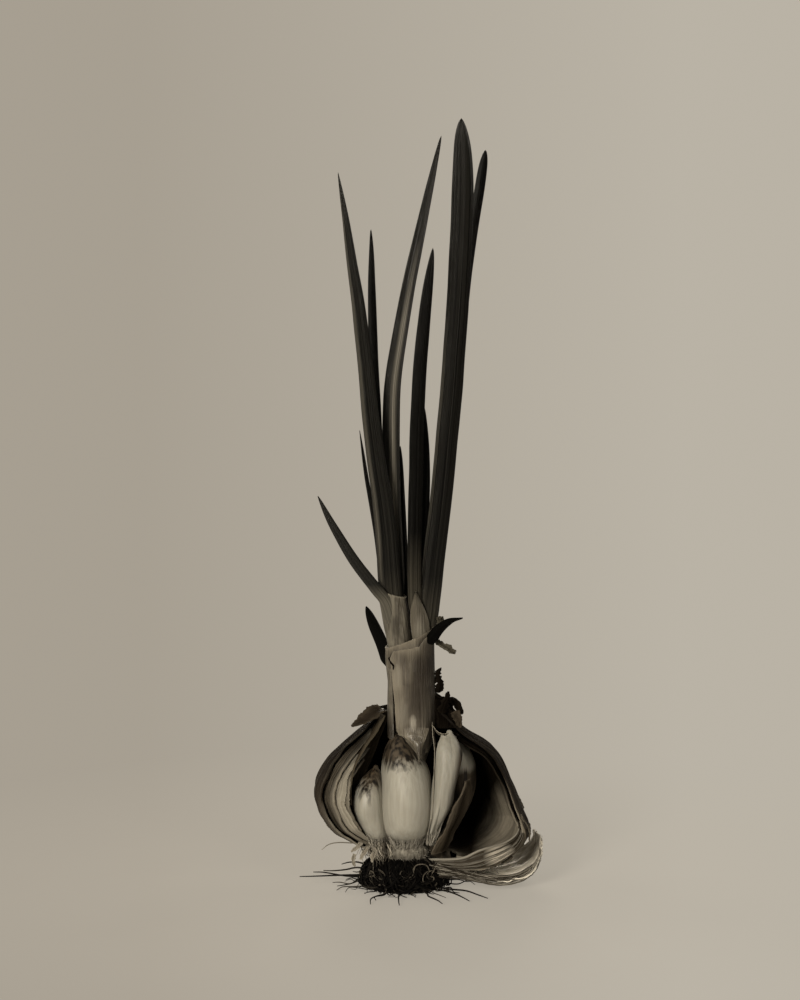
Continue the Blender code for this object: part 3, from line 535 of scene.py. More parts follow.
def add_leaf(leaf, material, nodes, steps=72, sides=28, ripple=0.00007):
    """A leaf blade: a channelled, finely ridged lens along its path, closing in a point."""
    rings, lengths = [], []
    seed = len(leaf.name) + leaf.path[-1][2] * 1000
    length = 0.0
    last = smooth_point(leaf.path, 0)
    for j in range(steps + 1):
        t = 0.994 * (1 - (1 - j / steps) ** 1.3)
        middle, side, face, share = blade_frame(leaf, t)
        length += (middle - last).length
        last = middle
        sway = wobble(length * 60, seed) * 0.00018 * ease(t * 6)
        half_width = leaf.width * share / 2 * (1 + 0.025 * wobble(length * 90, seed, 3))
        half_thick = leaf.thickness * (0.35 + 0.65 * share) / 2
        depth = leaf.fold * leaf.width * share
        ring = []
        for n in range(sides):
            angle = math.tau * n / sides
            u, v = math.cos(angle), math.sin(angle)
            ridge = ripple * math.sin(u * 15 + seed + wobble(length * 25, u * 2, seed)) * abs(v) * share
            swell = half_thick * math.copysign(abs(v) ** 0.8, v) + math.copysign(ridge, v)
            ring.append(middle + side * (u * half_width + sway) + face * (swell + depth * (0.5 - u * u)))
        rings.append(ring)
        lengths.append(length)
    work = Patchwork()
    work.add_tube(rings, lengths, tip=smooth_point(leaf.path, 1.0))
    return work.finish(leaf.name, material, nodes, sharp=70)


def add_torn(work, leaf, seed=0.0, teeth=0.3, crumple=0.0007, thickness=0.0003, tone=0.5, wide=1.0):
    """A torn strip of dry skin: a thin crumpled sheet along its path, with ragged sides and end."""
    seed += leaf.path[0][0] * 1000

    def point_at(a, b):
        t = b * (1 - 0.16 * abs(rough(a * 4, seed + 5)) * ease(b * 2 - 1))
        middle, side, face, share = blade_frame(leaf, min(max(t, 0), 0.985))
        u = a * 2 - 1
        ragged = 1 + teeth * rough(b * 5, seed + (1 if u > 0 else 9))
        half_width = wide * leaf.width * max(share, 0.16) / 2 * (1 + (ragged - 1) * abs(u))
        fold = crumple * (wobble(a * 3, b * 4, seed) + 0.6 * wobble(a * 8, b * 9, seed + 3))
        depth = leaf.fold * leaf.width * share * (0.5 - u * u)
        return middle + side * u * half_width + face * (depth + fold * ease(b * 5))

    middle, side, face, share = blade_frame(leaf, 0.5)
    reach = (Vector(leaf.path[-1]) - Vector(leaf.path[0])).length
    work.add_sheet(point_at, 22, 30, thickness, leaf.width, reach, middle - face * 0.02, tone)


def add_between(work, left, right, columns, rows, seed=0.0, thickness=0.0003, bow=(0, 0, 0), crumple=0.0,
                teeth=0.0, tone=0.5):
    """A thin sheet between two curves, bowed in its middle, crumpled, its sides torn. It faces the front."""
    def point_at(a, b):
        tear = teeth * rough(b * 5, seed + (1 if a > 0.5 else 7)) * abs(a * 2 - 1)
        share = min(max(a + tear * (1 if a > 0.5 else -1) * 0.5, -0.2), 1.2)
        start, end = smooth_point(left, b), smooth_point(right, b)
        fold = crumple * (wobble(a * 3, b * 5, seed) + 0.6 * wobble(a * 9, b * 12, seed + 3))
        return start.lerp(end, share) + Vector(bow) * (4 * a * (1 - a)) + Vector((0, fold, fold * 0.3))

    across = (Vector(left[1]) - Vector(right[1])).length
    along = (Vector(left[0]) - Vector(left[-1])).length
    behind = (Vector(left[1]) + Vector(right[1])) / 2 + Vector((0, 0.05, 0))
    work.add_sheet(point_at, columns, rows, thickness, across, along, behind, tone)


# Dry scales

def skin_outline(turn, u):
    """The dry skin's radius and height, `turn` degrees round from the front and u up its side."""
    side = math.sin(math.radians(turn))
    rightness, leftness = ease(side / 0.75), ease(-side / 0.75)
    left, right, back = (
        Vector((smooth_value([r for r, z in outline], u), smooth_value([z for r, z in outline], u), 0))
        for outline in (LEFT_OUTLINE, RIGHT_OUTLINE, BACK_OUTLINE)
    )
    return left * leftness + right * rightness + back * (1 - leftness - rightness)


def outline_reader(outline):
    radii, heights = [r for r, z in outline], [z for r, z in outline]
    return lambda turn, u: Vector((smooth_value(radii, u), smooth_value(heights, u), 0))


def round_axis(turn, flat):
    angle = math.radians(turn)
    return Vector((BULB_AXIS_X + flat.x * math.sin(angle), -flat.x * math.cos(angle), flat.y))


def edge_turn(scale, turns, u, phase):
    low, middle, high = turns
    place = middle + (low - middle) * ease((0.4 - u) / 0.4) + (high - middle) * ease((u - 0.6) / 0.4)
    slow = scale.ragged * (math.sin(9 * u + phase) + 0.6 * math.sin(23 * u + 2 * phase))
    return place + 0.6 * slow + 1.1 * rough(u * 14, phase)


def add_scale(work, scale, outline_at, columns, rows, thickness=0.0006, crinkle=0.00022, folds=17,
              fold_depth=0.0005, curl=0.0, end_teeth=0.012, tone=0.5):
    """A dry scale: a ribbed, crinkled sheet with torn edges, lying on the form of its solid.
    `curl` bends its free front edge inwards."""
    phase = scale.inset * 900
    middle = outline_at(sum(scale.start + scale.end) / 6, 0.5)
    across = math.radians(abs(scale.end[1] - scale.start[1])) * middle.x

    def point_at(a, b):
        low = scale.low + 0.006 * rough(a * 9, phase + 3)
        high = scale.high - end_teeth * max(rough(a * 11, phase + 6), -0.4)
        u = min(max(low + (high - low) * b, 0), 1)
        start, end = edge_turn(scale, scale.start, u, phase), edge_turn(scale, scale.end, u, phase + 2)
        turn = start + (end - start) * a
        here = outline_at(turn, u)
        slope = outline_at(turn, min(u + 0.02, 1)) - outline_at(turn, max(u - 0.02, 0))
        outward = Vector((slope.y, -slope.x, 0)).normalized()
        waist = math.sin(math.pi * u)
        rib = fold_depth * math.sin(math.radians(turn) * folds + wobble(turn * 0.05, u * 2, phase)) * waist
        fine = 0.00011 * wobble(turn * 0.9, u * 4, phase) * waist
        edge = math.exp(-min(a, 1 - a) * 14)
        crease = crinkle * (1 + 1.6 * edge) * (
            wobble(turn * 0.09, u * 7, phase) + 0.6 * wobble(turn * 0.3, u * 16, phase + 4)
        )
        depth = scale.inset * (0.6 + 0.4 * ease(u / 0.45)) + crinkle * 0.4
        depth += curl * math.exp(-(1 - a) * across / 0.0016)
        return round_axis(turn, here + outward * (rib + fine + crease - depth))

    work.add_sheet(point_at, columns, rows, thickness, across, 0.075 * (scale.high - scale.low),
                   Vector((BULB_AXIS_X, 0, 0.030)), tone)


# Roots and fibres

def add_fibre(work, path, radius, tone, steps=14, sides=6):
    """One root or fibre: a slim tube along its path, thinner towards its tip."""
    side = Vector((0.3, 0.2, 1))
    rings, lengths = [], []
    length = 0.0
    last = smooth_point(path, 0)
    for k in range(steps + 1):
        t = k / steps
        middle = smooth_point(path, t)
        length += (middle - last).length
        last = middle
        along = (smooth_point(path, t + 0.02) - smooth_point(path, t - 0.02)).normalized()
        side = (side - along * side.dot(along)).normalized()
        over = side.cross(along)
        size = radius * (1.1 - 0.6 * t**2)
        middle = Vector([
            min(max(value, low + size), high - size) for value, low, high in zip(middle, CAD_BOX[0],
                                                                            CAD_BOX[1])
        ])
        rings.append([
            middle + (side * math.cos(math.tau * n / sides) - over * math.sin(math.tau * n / sides)) * size
            for n in range(sides)
        ])
        lengths.append(length)
    work.add_tube(rings, lengths, tone=tone)


def mound_top(angle):
    """How high the roots climb: up over the plate at the front, low under the skin behind."""
    return 0.0084 + 0.0040 * ease((0.4 - math.sin(angle)) / 0.8)


def mound_point(angle, height, out=1.0):
    radius = TUFT_RADIUS * math.sqrt(max(1 - (height / 0.0128) ** 2 * 0.55, 0.05)) * out
    return TUFT_MIDDLE + Vector((radius * math.cos(angle), radius * math.sin(angle), height))


def matted_path(draw, low=0.2, angle=None):
    """A root that leaves the mound, arches over its side and dives back into it."""
    angle = draw.uniform(0, math.tau) if angle is None else angle
    swing = draw.uniform(0.12, 0.7) * draw.choice((-1, 1))
    top = draw.uniform(low, 1.0) * mound_top(angle)
    foot = draw.uniform(0.0004, 0.7 * top)
    bulge = draw.uniform(0.96, 1.10)
    return [
        mound_point(angle, top, 0.84),
        mound_point(angle + swing * 0.2, top * draw.uniform(0.9, 1.0), bulge),
        mound_point(angle + swing * 0.5, top + (foot - top) * draw.uniform(0.3, 0.7), bulge * 1.02),
        mound_point(angle + swing * 0.8, foot + (top - foot) * draw.uniform(0.0, 0.5), bulge),
        mound_point(angle + swing, foot, draw.uniform(0.84, 1.0)),
    ]


def ringlet_path(draw, angle, height):
    """An open curl of root that stands just off the mound's side."""
    radius = draw.uniform(0.0009, 0.0019)
    first = draw.uniform(0, math.tau)
    sweep = draw.uniform(3.4, 5.6) * draw.choice((-1, 1))
    centre = mound_point(angle, height, 1.05)
    out = Vector((math.cos(angle), math.sin(angle), 0))
    side = Vector((-math.sin(angle), math.cos(angle), 0))
    points = [mound_point(angle, height, 0.8)]
    for k in range(8):
        turn = first + sweep * k / 7
        flat = side * math.cos(turn) * radius + Vector((0, 0, 1)) * math.sin(turn) * radius * 0.8
        points.append(centre + flat * (1 + 0.12 * k) + out * draw.uniform(-0.0001, 0.0005))
    points.append(mound_point(angle + draw.uniform(-0.3, 0.3), height * 0.7, 0.85))
    return points


def loose_path(draw, x, y, z, curl=0.003):
    """A root that leaves the mound's foot and runs to a tip on the ground or just over it."""
    tip = Vector((x, y, z))
    angle = math.atan2(y - TUFT_MIDDLE.y, x - TUFT_MIDDLE.x)
    start = mound_point(angle, max(z, 0.0016), 0.8)
    sideways = Vector((-math.sin(angle), math.cos(angle), 0))
    points = [start]
    for share in (0.3, 0.55, 0.8):
        point = start.lerp(tip, share) + sideways * draw.uniform(-curl, curl) * 0.6
        point.z = max(point.z + draw.uniform(-0.0003, 0.0007), 0.0003)
        points.append(point)
    points.append(tip)
    return points


# Materials

def new_material(name):
    material = bpy.data.materials.new(name)
    material.use_nodes = True
    return material, material.node_tree


def add_node(tree, kind, **settings):
    made = tree.nodes.new(kind)
    for name, value in settings.items():
        setattr(made, name, value)
    return made


def give(tree, socket, value):
    """Sets a socket to a number or colour, or links another socket to it."""
    if isinstance(value, bpy.types.NodeSocket):
        tree.links.new(value, socket)
    elif isinstance(value, tuple) and socket.type == "RGBA":
        socket.default_value = (*value, 1)
    else:
        socket.default_value = value


def shader_of(tree, **values):
    """The material's Principled shader with these inputs, by name with _ for spaces."""
    shader = tree.nodes["Principled BSDF"]
    for name, value in values.items():
        give(tree, shader.inputs[name.replace("_", " ")], value)
    return shader


def mapped(tree, source, scale):
    mapping = add_node(tree, "ShaderNodeMapping")
    tree.links.new(source, mapping.inputs[0])
    mapping.inputs["Scale"].default_value = scale
    return mapping.outputs[0]


def along_uv(tree, across, along):
    """UV coordinates scaled to run in fine lines along the piece."""
    return mapped(tree, add_node(tree, "ShaderNodeUVMap", uv_map="UVMap").outputs[0], (across, along, 1))


def in_space(tree, scale):
    return mapped(tree, add_node(tree, "ShaderNodeTexCoord").outputs["Object"], scale)


def noise_at(tree, vector, detail=4.0, low=0.35, high=0.65, distortion=0.0):
    """Noise at the vector, stretched so that it runs from 0 at low to 1 at high."""
    texture = add_node(tree, "ShaderNodeTexNoise")
    tree.links.new(vector, texture.inputs["Vector"])
    texture.inputs["Scale"].default_value = 1.0
    texture.inputs["Detail"].default_value = detail
    texture.inputs["Distortion"].default_value = distortion
    return ramp(tree, texture.outputs[0], low, high)


def ramp(tree, value, low, high, out_low=0.0, out_high=1.0):
    fit = add_node(tree, "ShaderNodeMapRange")
    give(tree, fit.inputs["Value"], value)
    for name, number in (("From Min", low), ("From Max", high), ("To Min", out_low), ("To Max", out_high)):
        fit.inputs[name].default_value = number
    return fit.outputs[0]


def mix(tree, factor, one, two):
    made = add_node(tree, "ShaderNodeMix", data_type="RGBA")
    give(tree, made.inputs[0], factor)
    give(tree, made.inputs[6], one)
    give(tree, made.inputs[7], two)
    return made.outputs[2]


def darken(tree, factor, colour, share):
    """The colour times a share, by a factor from 0 to 1."""
    made = add_node(tree, "ShaderNodeMix", data_type="RGBA", blend_type="MULTIPLY")
    give(tree, made.inputs[0], factor)
    give(tree, made.inputs[6], colour)
    give(tree, made.inputs[7], (share, share * 0.94, share * 0.86))
    return made.outputs[2]


def times(tree, one, two):
    made = add_node(tree, "ShaderNodeMath", operation="MULTIPLY")
    give(tree, made.inputs[0], one)
    give(tree, made.inputs[1], two)
    return made.outputs[0]


def plus(tree, one, two):
    made = add_node(tree, "ShaderNodeMath", operation="ADD", use_clamp=True)
    give(tree, made.inputs[0], one)
    give(tree, made.inputs[1], two)
    return made.outputs[0]


def mark_of(tree, name):
    return add_node(tree, "ShaderNodeAttribute", attribute_name=name).outputs["Fac"]


def along_direction(tree, direction, low, high):
    """0 to 1 as a point moves along a direction in space, from low to high."""
    made = add_node(tree, "ShaderNodeVectorMath", operation="DOT_PRODUCT")
    tree.links.new(add_node(tree, "ShaderNodeTexCoord").outputs["Object"], made.inputs[0])
    made.inputs[1].default_value = direction
    return ramp(tree, made.outputs["Value"], low, high)


def near_place(tree, place, radius, squash=0.45):
    """1 at a place in space, falling to 0 at the radius, which is longer up and down."""
    made = add_node(tree, "ShaderNodeVectorMath", operation="DISTANCE")
    tree.links.new(in_space(tree, (1, 1, squash)), made.inputs[0])
    made.inputs[1].default_value = (place[0], place[1], place[2] * squash)
    return ramp(tree, made.outputs["Value"], radius, 0.0)


def bump_of(tree, height, strength, distance):
    made = add_node(tree, "ShaderNodeBump")
    made.inputs["Strength"].default_value = strength
    made.inputs["Distance"].default_value = distance
    tree.links.new(height, made.inputs["Height"])
    return made.outputs[0]


def dimmed(colour, share):
    return tuple(value * share for value in colour)


def leaf_material(name, dark, light, pale, pale_from, pale_to, roughness=0.34, gloss=0.25, darkened_end=None,
                  painted_highlight=None):
    """Waxy leaf: fine lengthwise lines, paler towards the sheath it grows from. Its next to last argument
    gives the places in x between which its foot darkens with painted shade, its last a pale streak of painted
    highlight along it: where it is round the blade, its width, the heights where it starts and ends, and how
    much of it shows."""
    material, tree = new_material(name)
    lines = noise_at(tree, along_uv(tree, 52, 1.0), 5, 0.40, 0.66)
    bands = noise_at(tree, along_uv(tree, 9, 0.5), 3, 0.42, 0.72)
    flecks = noise_at(tree, in_space(tree, (900, 900, 300)), 3, 0.62, 0.80)
    colour = mix(tree, lines, dark, light)
    colour = mix(tree, times(tree, bands, 0.5), colour, light)
    young = along_direction(tree, (0, 0, 1), pale_to, pale_from)
    colour = mix(tree, times(tree, young, 0.9), colour, mix(tree, lines, dimmed(pale, 0.3), pale))
    colour = mix(tree, times(tree, flecks, 0.08), colour, light)
    # Painted highlight: a pale streak along one side of the blade.
    if painted_highlight:
        place, width, start, end, share = painted_highlight
        parts = add_node(tree, "ShaderNodeSeparateXYZ")
        tree.links.new(along_uv(tree, 1, 1), parts.inputs[0])
        offset = add_node(tree, "ShaderNodeMath", operation="SUBTRACT")
        give(tree, offset.inputs[0], parts.outputs["X"])
        offset.inputs[1].default_value = place
        far = add_node(tree, "ShaderNodeMath", operation="ABSOLUTE")
        give(tree, far.inputs[0], offset.outputs[0])
        streak = times(tree, ramp(tree, far.outputs[0], width, width * 0.2),
                       ramp(tree, lines, 0, 1, 0.35, 1.0))
        streak = times(tree, streak, along_direction(tree, (0, 0, 1), start, start + 0.025))
        streak = times(tree, streak, along_direction(tree, (0, 0, 1), end + 0.03, end))
        colour = mix(tree, times(tree, streak, share), colour, (0.27, 0.25, 0.205))
    # Painted shade: the foot darkens towards its right side, below 0.116 to 0.130 m up.
    if darkened_end:
        foot = times(tree, along_direction(tree, (1, 0, 0), *darkened_end),
                     along_direction(tree, (0, 0, 1), 0.130, 0.116))
        colour = darken(tree, foot, colour, 0.08)
    shine = ramp(tree, lines, 0, 1, roughness - 0.04, roughness + 0.10)
    shader_of(tree, Base_Color=colour, Roughness=shine, Normal=bump_of(tree, lines, 0.5, 0.0003),
              Specular_IOR_Level=gloss)
    return material


def flesh_material(name, brown_direction, brown_low, brown_high, shaded_side_low, shaded_side_high, gloss, share):
    """Cream onion flesh with faint ribs, streaked brown towards one end, and darkened to brown on its right
    side as painted shade. `share` is how pale it is."""
    material, tree = new_material(name)
    ribs = noise_at(tree, in_space(tree, (900, 900, 50)), 4, 0.3, 0.7)
    streaks = noise_at(tree, in_space(tree, (700, 700, 45)), 5, 0.38, 0.60)
    clouds = noise_at(tree, in_space(tree, (180, 180, 110)), 4, 0.35, 0.7)
    cream, pale, deep = [dimmed(c, share) for c in ((0.345, 0.330, 0.282), (0.435, 0.418, 0.362),
                                                    (0.27, 0.25, 0.20))]
    colour = mix(tree, ribs, cream, pale)
    colour = mix(tree, times(tree, clouds, 0.35), colour, deep)
    darkened_end = along_direction(tree, brown_direction, brown_low, brown_high)
    brown = mix(tree, streaks, (0.007, 0.005, 0.0035), (0.080, 0.062, 0.042))
    patchy = ramp(tree, plus(tree, times(tree, darkened_end, 1.3), times(tree, streaks, -0.45)), 0.05, 0.75)
    colour = mix(tree, patchy, colour, brown)
    # Painted shade: the right side darkens to brown.
    side = along_direction(tree, (1, 0, -0.12), shaded_side_low, shaded_side_high)
    colour = mix(tree, times(tree, side, 0.92), colour, brown)
    shader_of(tree, Base_Color=colour, Roughness=ramp(tree, clouds, 0, 1, gloss, gloss + 0.14),
              Normal=bump_of(tree, ribs, 0.3, 0.0003), Specular_IOR_Level=0.35,
              Subsurface_Weight=0.08, Subsurface_Radius=(0.004, 0.003, 0.002), Subsurface_Scale=0.4)
    return material


def sheath_material(name, base, dark, shaded_right=(0.005, 0.012), spots=(), rim_share=0.7):
    """Stem sheath with fine lengthwise veins and a satin surface, darkened with painted shade on its right
    side, inside its mouth and on the backs of its sheets.
    """
    material, tree = new_material(name)
    veins = noise_at(tree, in_space(tree, (1700, 1700, 50)), 5, 0.38, 0.60)
    bands = noise_at(tree, in_space(tree, (430, 430, 26)), 4, 0.38, 0.62)
    blotches = noise_at(tree, in_space(tree, (170, 170, 90)), 4, 0.42, 0.62, 0.5)
    colour = mix(tree, veins, mix(tree, 0.85, base, dark), base)
    colour = mix(tree, times(tree, bands, 0.8), colour, dark)
    colour = mix(tree, times(tree, blotches, 0.45), colour, dimmed(base, 1.45))
    # Painted shade: the right side darkens nearly to black.
    right = along_direction(tree, (1, 0, 0), *shaded_right)
    colour = mix(tree, times(tree, right, 0.88), colour,
                 mix(tree, veins, dimmed(dark, 0.22), dimmed(dark, 0.75)))
    dark_spots = noise_at(tree, in_space(tree, (120, 120, 70)), 4, 0.52, 0.66, 0.8)
    colour = darken(tree, times(tree, dark_spots, 0.7), colour, 0.30)
    for place, radius, share, tint in spots:
        near = times(tree, ramp(tree, near_place(tree, place, radius), 0.1, 0.7), share)
        colour = mix(tree, near, colour, mix(tree, times(tree, veins, 0.5), tint, dimmed(tint, 0.4)))
    colour = mix(tree, times(tree, mark_of(tree, "rim"), rim_share), colour, dimmed(base, 1.7))
    # Painted shade inside the mouth and on the backs of the sheets.
    colour = mix(tree, times(tree, mark_of(tree, "inner"), 0.93), colour, dimmed(dark, 0.25))
    shader_of(tree, Base_Color=colour, Roughness=ramp(tree, veins, 0, 1, 0.42, 0.28),
              Normal=bump_of(tree, veins, 0.6, 0.0003), Coat_Weight=0.15, Coat_Roughness=0.24,
              Specular_IOR_Level=0.35)
    return material


def skin_material(name, outside, inside, rim, rim_share=0.8, roughness=0.55, shade=None, lit=None,
                  stripes=(90, 2.2), rim_fade=None, lines=0.75, deep_line=0.22, dull=None, gloss=0.03,
                  threads=0.0, dark_spots=(), highlight_patches=(), back=None):
    """Papery dry skin: veined and blotched, its inside in another colour, its torn rim pale. `shade` is a
    direction with the places between which painted shade darkens the skin, `dull` a direction with the places
    between which its outside darkens to about half, `lit` a colour and the places in x where its inside pales
    with painted light, `rim_fade` the heights where the pale rim is lost, `threads` how pale its thin raised
    veins are; then come near-black places, each with its radius, and places of painted highlight, each with
    its radius and colour. `back` is the colour its outside turns towards the back, lighter as painted light."""
    material, tree = new_material(name)
    veins = noise_at(tree, along_uv(tree, *stripes), 5, 0.40, 0.60)
    folds = noise_at(tree, along_uv(tree, stripes[0] * 0.28, stripes[1] * 0.7), 4, 0.38, 0.60)
    blotches = noise_at(tree, in_space(tree, (150, 150, 110)), 5, 0.40, 0.66, 0.6)
    inner = mark_of(tree, "inner")
    deep = inside
    # Painted light: the inside pales towards the lower right.
    if lit:
        paler, low, high = lit
        away = times(tree, along_direction(tree, (1, 0, -0.35), low, high),
                     ramp(tree, folds, 0, 1, 0.65, 1.0))
        deep = mix(tree, away, inside, paler)
    behind = along_direction(tree, (0, 1, 0), 0.010, 0.022)
    # Painted light: the outside turns to the lighter back colour towards the back.
    if back:
        outside = mix(tree, behind, outside, back)
    colour = mix(tree, inner, outside, deep)
    lined = plus(tree, times(tree, veins, lines), times(tree, folds, lines * 0.6))
    lined = times(tree, lined, ramp(tree, inner, 0, 1, 1.0, 0.6))
    colour = darken(tree, lined, colour, deep_line)
    brighter = add_node(tree, "ShaderNodeMix", data_type="RGBA", blend_type="SCREEN")
    give(tree, brighter.inputs[0], times(tree, blotches, 0.35))
    give(tree, brighter.inputs[6], colour)
    give(tree, brighter.inputs[7], colour)
    torn = times(tree, mark_of(tree, "rim"), rim_share)
    if rim_fade:
        torn = times(tree, torn, along_direction(tree, (0, 0, 1), rim_fade[1], rim_fade[0]))
    colour = mix(tree, torn, brighter.outputs[2], rim)
    if dull:
        colour = mix(tree, inner, darken(tree, along_direction(tree, *dull), colour, 0.55), colour)
    # Painted shade: the skin darkens nearly to black along the direction, less so towards the back.
    if shade:
        direction, low, high = shade
        upper = plus(tree, along_direction(tree, direction, low, high), times(tree, folds, -0.25))
        gloom = mix(tree, veins, (0.017, 0.013, 0.009), (0.004, 0.003, 0.0022))
        upper = times(tree, upper, ramp(tree, behind, 0, 1, 0.94, 0.45))
        colour = mix(tree, upper, colour, gloom)
    if threads:
        thin = noise_at(tree, along_uv(tree, stripes[0] * 1.3, stripes[1] * 0.6), 3, 0.60, 0.68)
        thin = times(tree, times(tree, thin, ramp(tree, inner, 0, 1, 1.0, 0.2)), threads)
        colour = mix(tree, thin, colour, (0.20, 0.178, 0.138))
    for place, radius in dark_spots:
        near = ramp(tree, near_place(tree, place, radius), 0.0, 0.5)
        colour = mix(tree, near, colour, (0.012, 0.009, 0.006))
    # Painted highlights: pale patches of their own colour, fainter over the veins.
    for place, radius, tint in highlight_patches:
        near = times(tree, ramp(tree, near_place(tree, place, radius, 1.0), 0.1, 0.6),
                     ramp(tree, veins, 0, 1, 1, 0.6))
        colour = mix(tree, near, colour, tint)
    relief = plus(tree, times(tree, veins, 0.5), times(tree, folds, 0.5))
    shader_of(tree, Base_Color=colour, Roughness=ramp(tree, blotches, 0, 1, roughness, roughness - 0.12),
              Normal=bump_of(tree, relief, 0.6, 0.0005), Specular_IOR_Level=gloss)
    return material


def plate_material():
    """Fibrous tan base, darker towards the roots."""
    material, tree = new_material("fibrous_plate")
    grain = noise_at(tree, in_space(tree, (800, 800, 260)), 6, 0.36, 0.64, 0.4)
    lumps = noise_at(tree, in_space(tree, (260, 260, 260)), 4, 0.38, 0.64)
    low = along_direction(tree, (0, 0, 1), 0.0155, 0.0105)
    colour = mix(tree, grain, (0.060, 0.050, 0.036), (0.27, 0.25, 0.205))
    colour = mix(tree, times(tree, lumps, 0.4), colour, (0.34, 0.32, 0.27))
    colour = mix(tree, times(tree, low, 0.9), colour, (0.02, 0.016, 0.011))
    shader_of(tree, Base_Color=colour, Roughness=0.85, Normal=bump_of(tree, grain, 0.8, 0.0006))
    return material


def fibre_material(name, dark, light, roughness=0.62, gloss=0.2):
    """Dry fibres or roots, each in its own tone from dark to light."""
    material, tree = new_material(name)
    lines = noise_at(tree, along_uv(tree, 5, 9), 3, 0.3, 0.7)
    colour = mix(tree, mark_of(tree, "tone"), dark, light)
    faint = mix(tree, mark_of(tree, "tone"), dimmed(dark, 0.5), dimmed(light, 0.45))
    colour = mix(tree, times(tree, lines, 0.5), colour, faint)
    shader_of(tree, Base_Color=colour, Roughness=roughness, Normal=bump_of(tree, lines, 0.3, 0.0002),
              Specular_IOR_Level=gloss)
    return material


def backdrop_material(name, solid):
    """The pale paper around the onion, glowing a little lighter to the right as painted light. `solid` is how
    much of it takes light and shadow close to the onion."""
    material, tree = new_material(name)
    out = tree.nodes["Material Output"]
    tree.nodes.remove(tree.nodes["Principled BSDF"])
    place = add_node(tree, "ShaderNodeTexCoord").outputs["Object"]
    from_eye = add_node(tree, "ShaderNodeVectorMath", operation="SUBTRACT")
    tree.links.new(place, from_eye.inputs[0])
    from_eye.inputs[1].default_value = (0, -CAMERA_DISTANCE, 0.3)
    unit = add_node(tree, "ShaderNodeVectorMath", operation="NORMALIZE")
    tree.links.new(from_eye.outputs[0], unit.inputs[0])
    parts = add_node(tree, "ShaderNodeSeparateXYZ")
    tree.links.new(unit.outputs[0], parts.inputs[0])
    # Painted light: the glow is a little lighter to the right.
    tint = mix(tree, ramp(tree, parts.outputs["X"], -0.075, 0.080), (0.385, 0.345, 0.284),
               (0.489, 0.449, 0.379))
    glow = add_node(tree, "ShaderNodeEmission")
    tree.links.new(tint, glow.inputs["Color"])
    if not solid:
        tree.links.new(glow.outputs[0], out.inputs[0])
        return material
    matte = add_node(tree, "ShaderNodeBsdfDiffuse")
    grain = noise_at(tree, in_space(tree, (30, 30, 30)), 3, 0.3, 0.7)
    give(tree, matte.inputs["Color"], mix(tree, grain, GROUND_COLOUR, dimmed(GROUND_COLOUR, 1.03)))
    reach = add_node(tree, "ShaderNodeVectorMath", operation="LENGTH")
    tree.links.new(place, reach.inputs[0])
    blend = add_node(tree, "ShaderNodeMixShader")
    tree.links.new(ramp(tree, reach.outputs["Value"], 0.05, 0.22, 1 - solid, 1.0), blend.inputs[0])
    tree.links.new(matte.outputs[0], blend.inputs[1])
    tree.links.new(glow.outputs[0], blend.inputs[2])
    tree.links.new(blend.outputs[0], out.inputs[0])
    return material


# The onion's pieces

def add_lobes():
    bodies = (
        ("heart_lobe", HEART_LOBE, -0.3, (-0.10, 0.10, 1.0), 0.0420, 0.0500, (0.1, 0.2), 0.44, 0.97),
        ("left_lobe", LEFT_LOBE, 0.0, (0.10, 0.0, 1.0), 0.0310, 0.0420, (0.1, 0.2), 0.32, 0.90),
        ("right_lobe", RIGHT_LOBE, 0.0, (0.0, 0.0, -1.0), -0.0240, -0.0180, (0.0116, 0.0134), 0.42, 0.80),
        ("rear_lobe", REAR_LOBE, 0.0, (0.0, 0.0, -1.0), -0.0445, -0.0400, (0.1, 0.2), 0.5, 0.95),
    )
    for seed, (name, table, slant, direction, low, high, side, gloss, share) in enumerate(bodies):
        work = Patchwork()
        add_body(work, table, 70, 72, slant, bumps(0.00010, 0.00030, seed * 3.0), domes=(0.0008, 0.0012))
        if name == "right_lobe":
            add_lobe_wrap(work)
        work.finish(name, flesh_material(name + "_flesh", direction, low, high, *side, gloss, share),
                    [name])


def add_lobe_wrap(work):
    """The right lobe's skin where it wraps over to the membrane at its left."""
    left = [
        (0.0128, -0.0100, 0.0572), (0.0112, -0.0118, 0.0530), (0.0107, -0.0132, 0.0480), (0.0104, -0.0142,
                                                                            0.0400),
        (0.0099, -0.0146, 0.0310), (0.0086, -0.0136, 0.0225),
    ]
    right = [
        (0.0158, -0.0100, 0.0566), (0.0163, -0.0138, 0.0520), (0.0160, -0.0154, 0.0480), (0.0144, -0.0166,
                                                                            0.0400),
        (0.0124, -0.0160, 0.0310), (0.0100, -0.0132, 0.0225),
    ]
    add_between(work, left, right, 24, 60, 4.0, 0.0004, bow=(-0.0002, -0.0012, 0), crumple=0.00006)


def add_membrane():
    """Thin torn skin between the heart lobe and the right lobe, its edge a pale line."""
    pale = skin_material("thin_membrane", (0.17, 0.15, 0.115), (0.06, 0.05, 0.035), (0.34, 0.31, 0.255), 0.7,
                         0.4)
    front = [
        (0.0096, -0.0080, 0.0610), (0.0098, -0.0100, 0.0570), (0.0104, -0.0118, 0.0520), (0.0103, -0.0138,
                                                                            0.0455),
        (0.0100, -0.0150, 0.0380), (0.0096, -0.0150, 0.0300), (0.0080, -0.0140, 0.0220),
    ]
    rear = [(x + 0.0006, y + 0.0045, z - 0.0004) for x, y, z in front]
    work = Patchwork()
    add_between(work, front, rear, 8, 60, 3.0, 0.00016, crumple=0.0002)
    over = [(0.0098, -0.0092, 0.0600), (0.0112, -0.0100, 0.0583), (0.0134, -0.0104, 0.0574),
            (0.0152, -0.0098, 0.0578)]
    under = [(x + 0.0002, y + 0.0030, z - 0.0016) for x, y, z in over]
    add_between(work, over, under, 6, 30, 5.0, 0.00016, crumple=0.0002)
    work.finish("thin_membrane", pale, sharp=60)


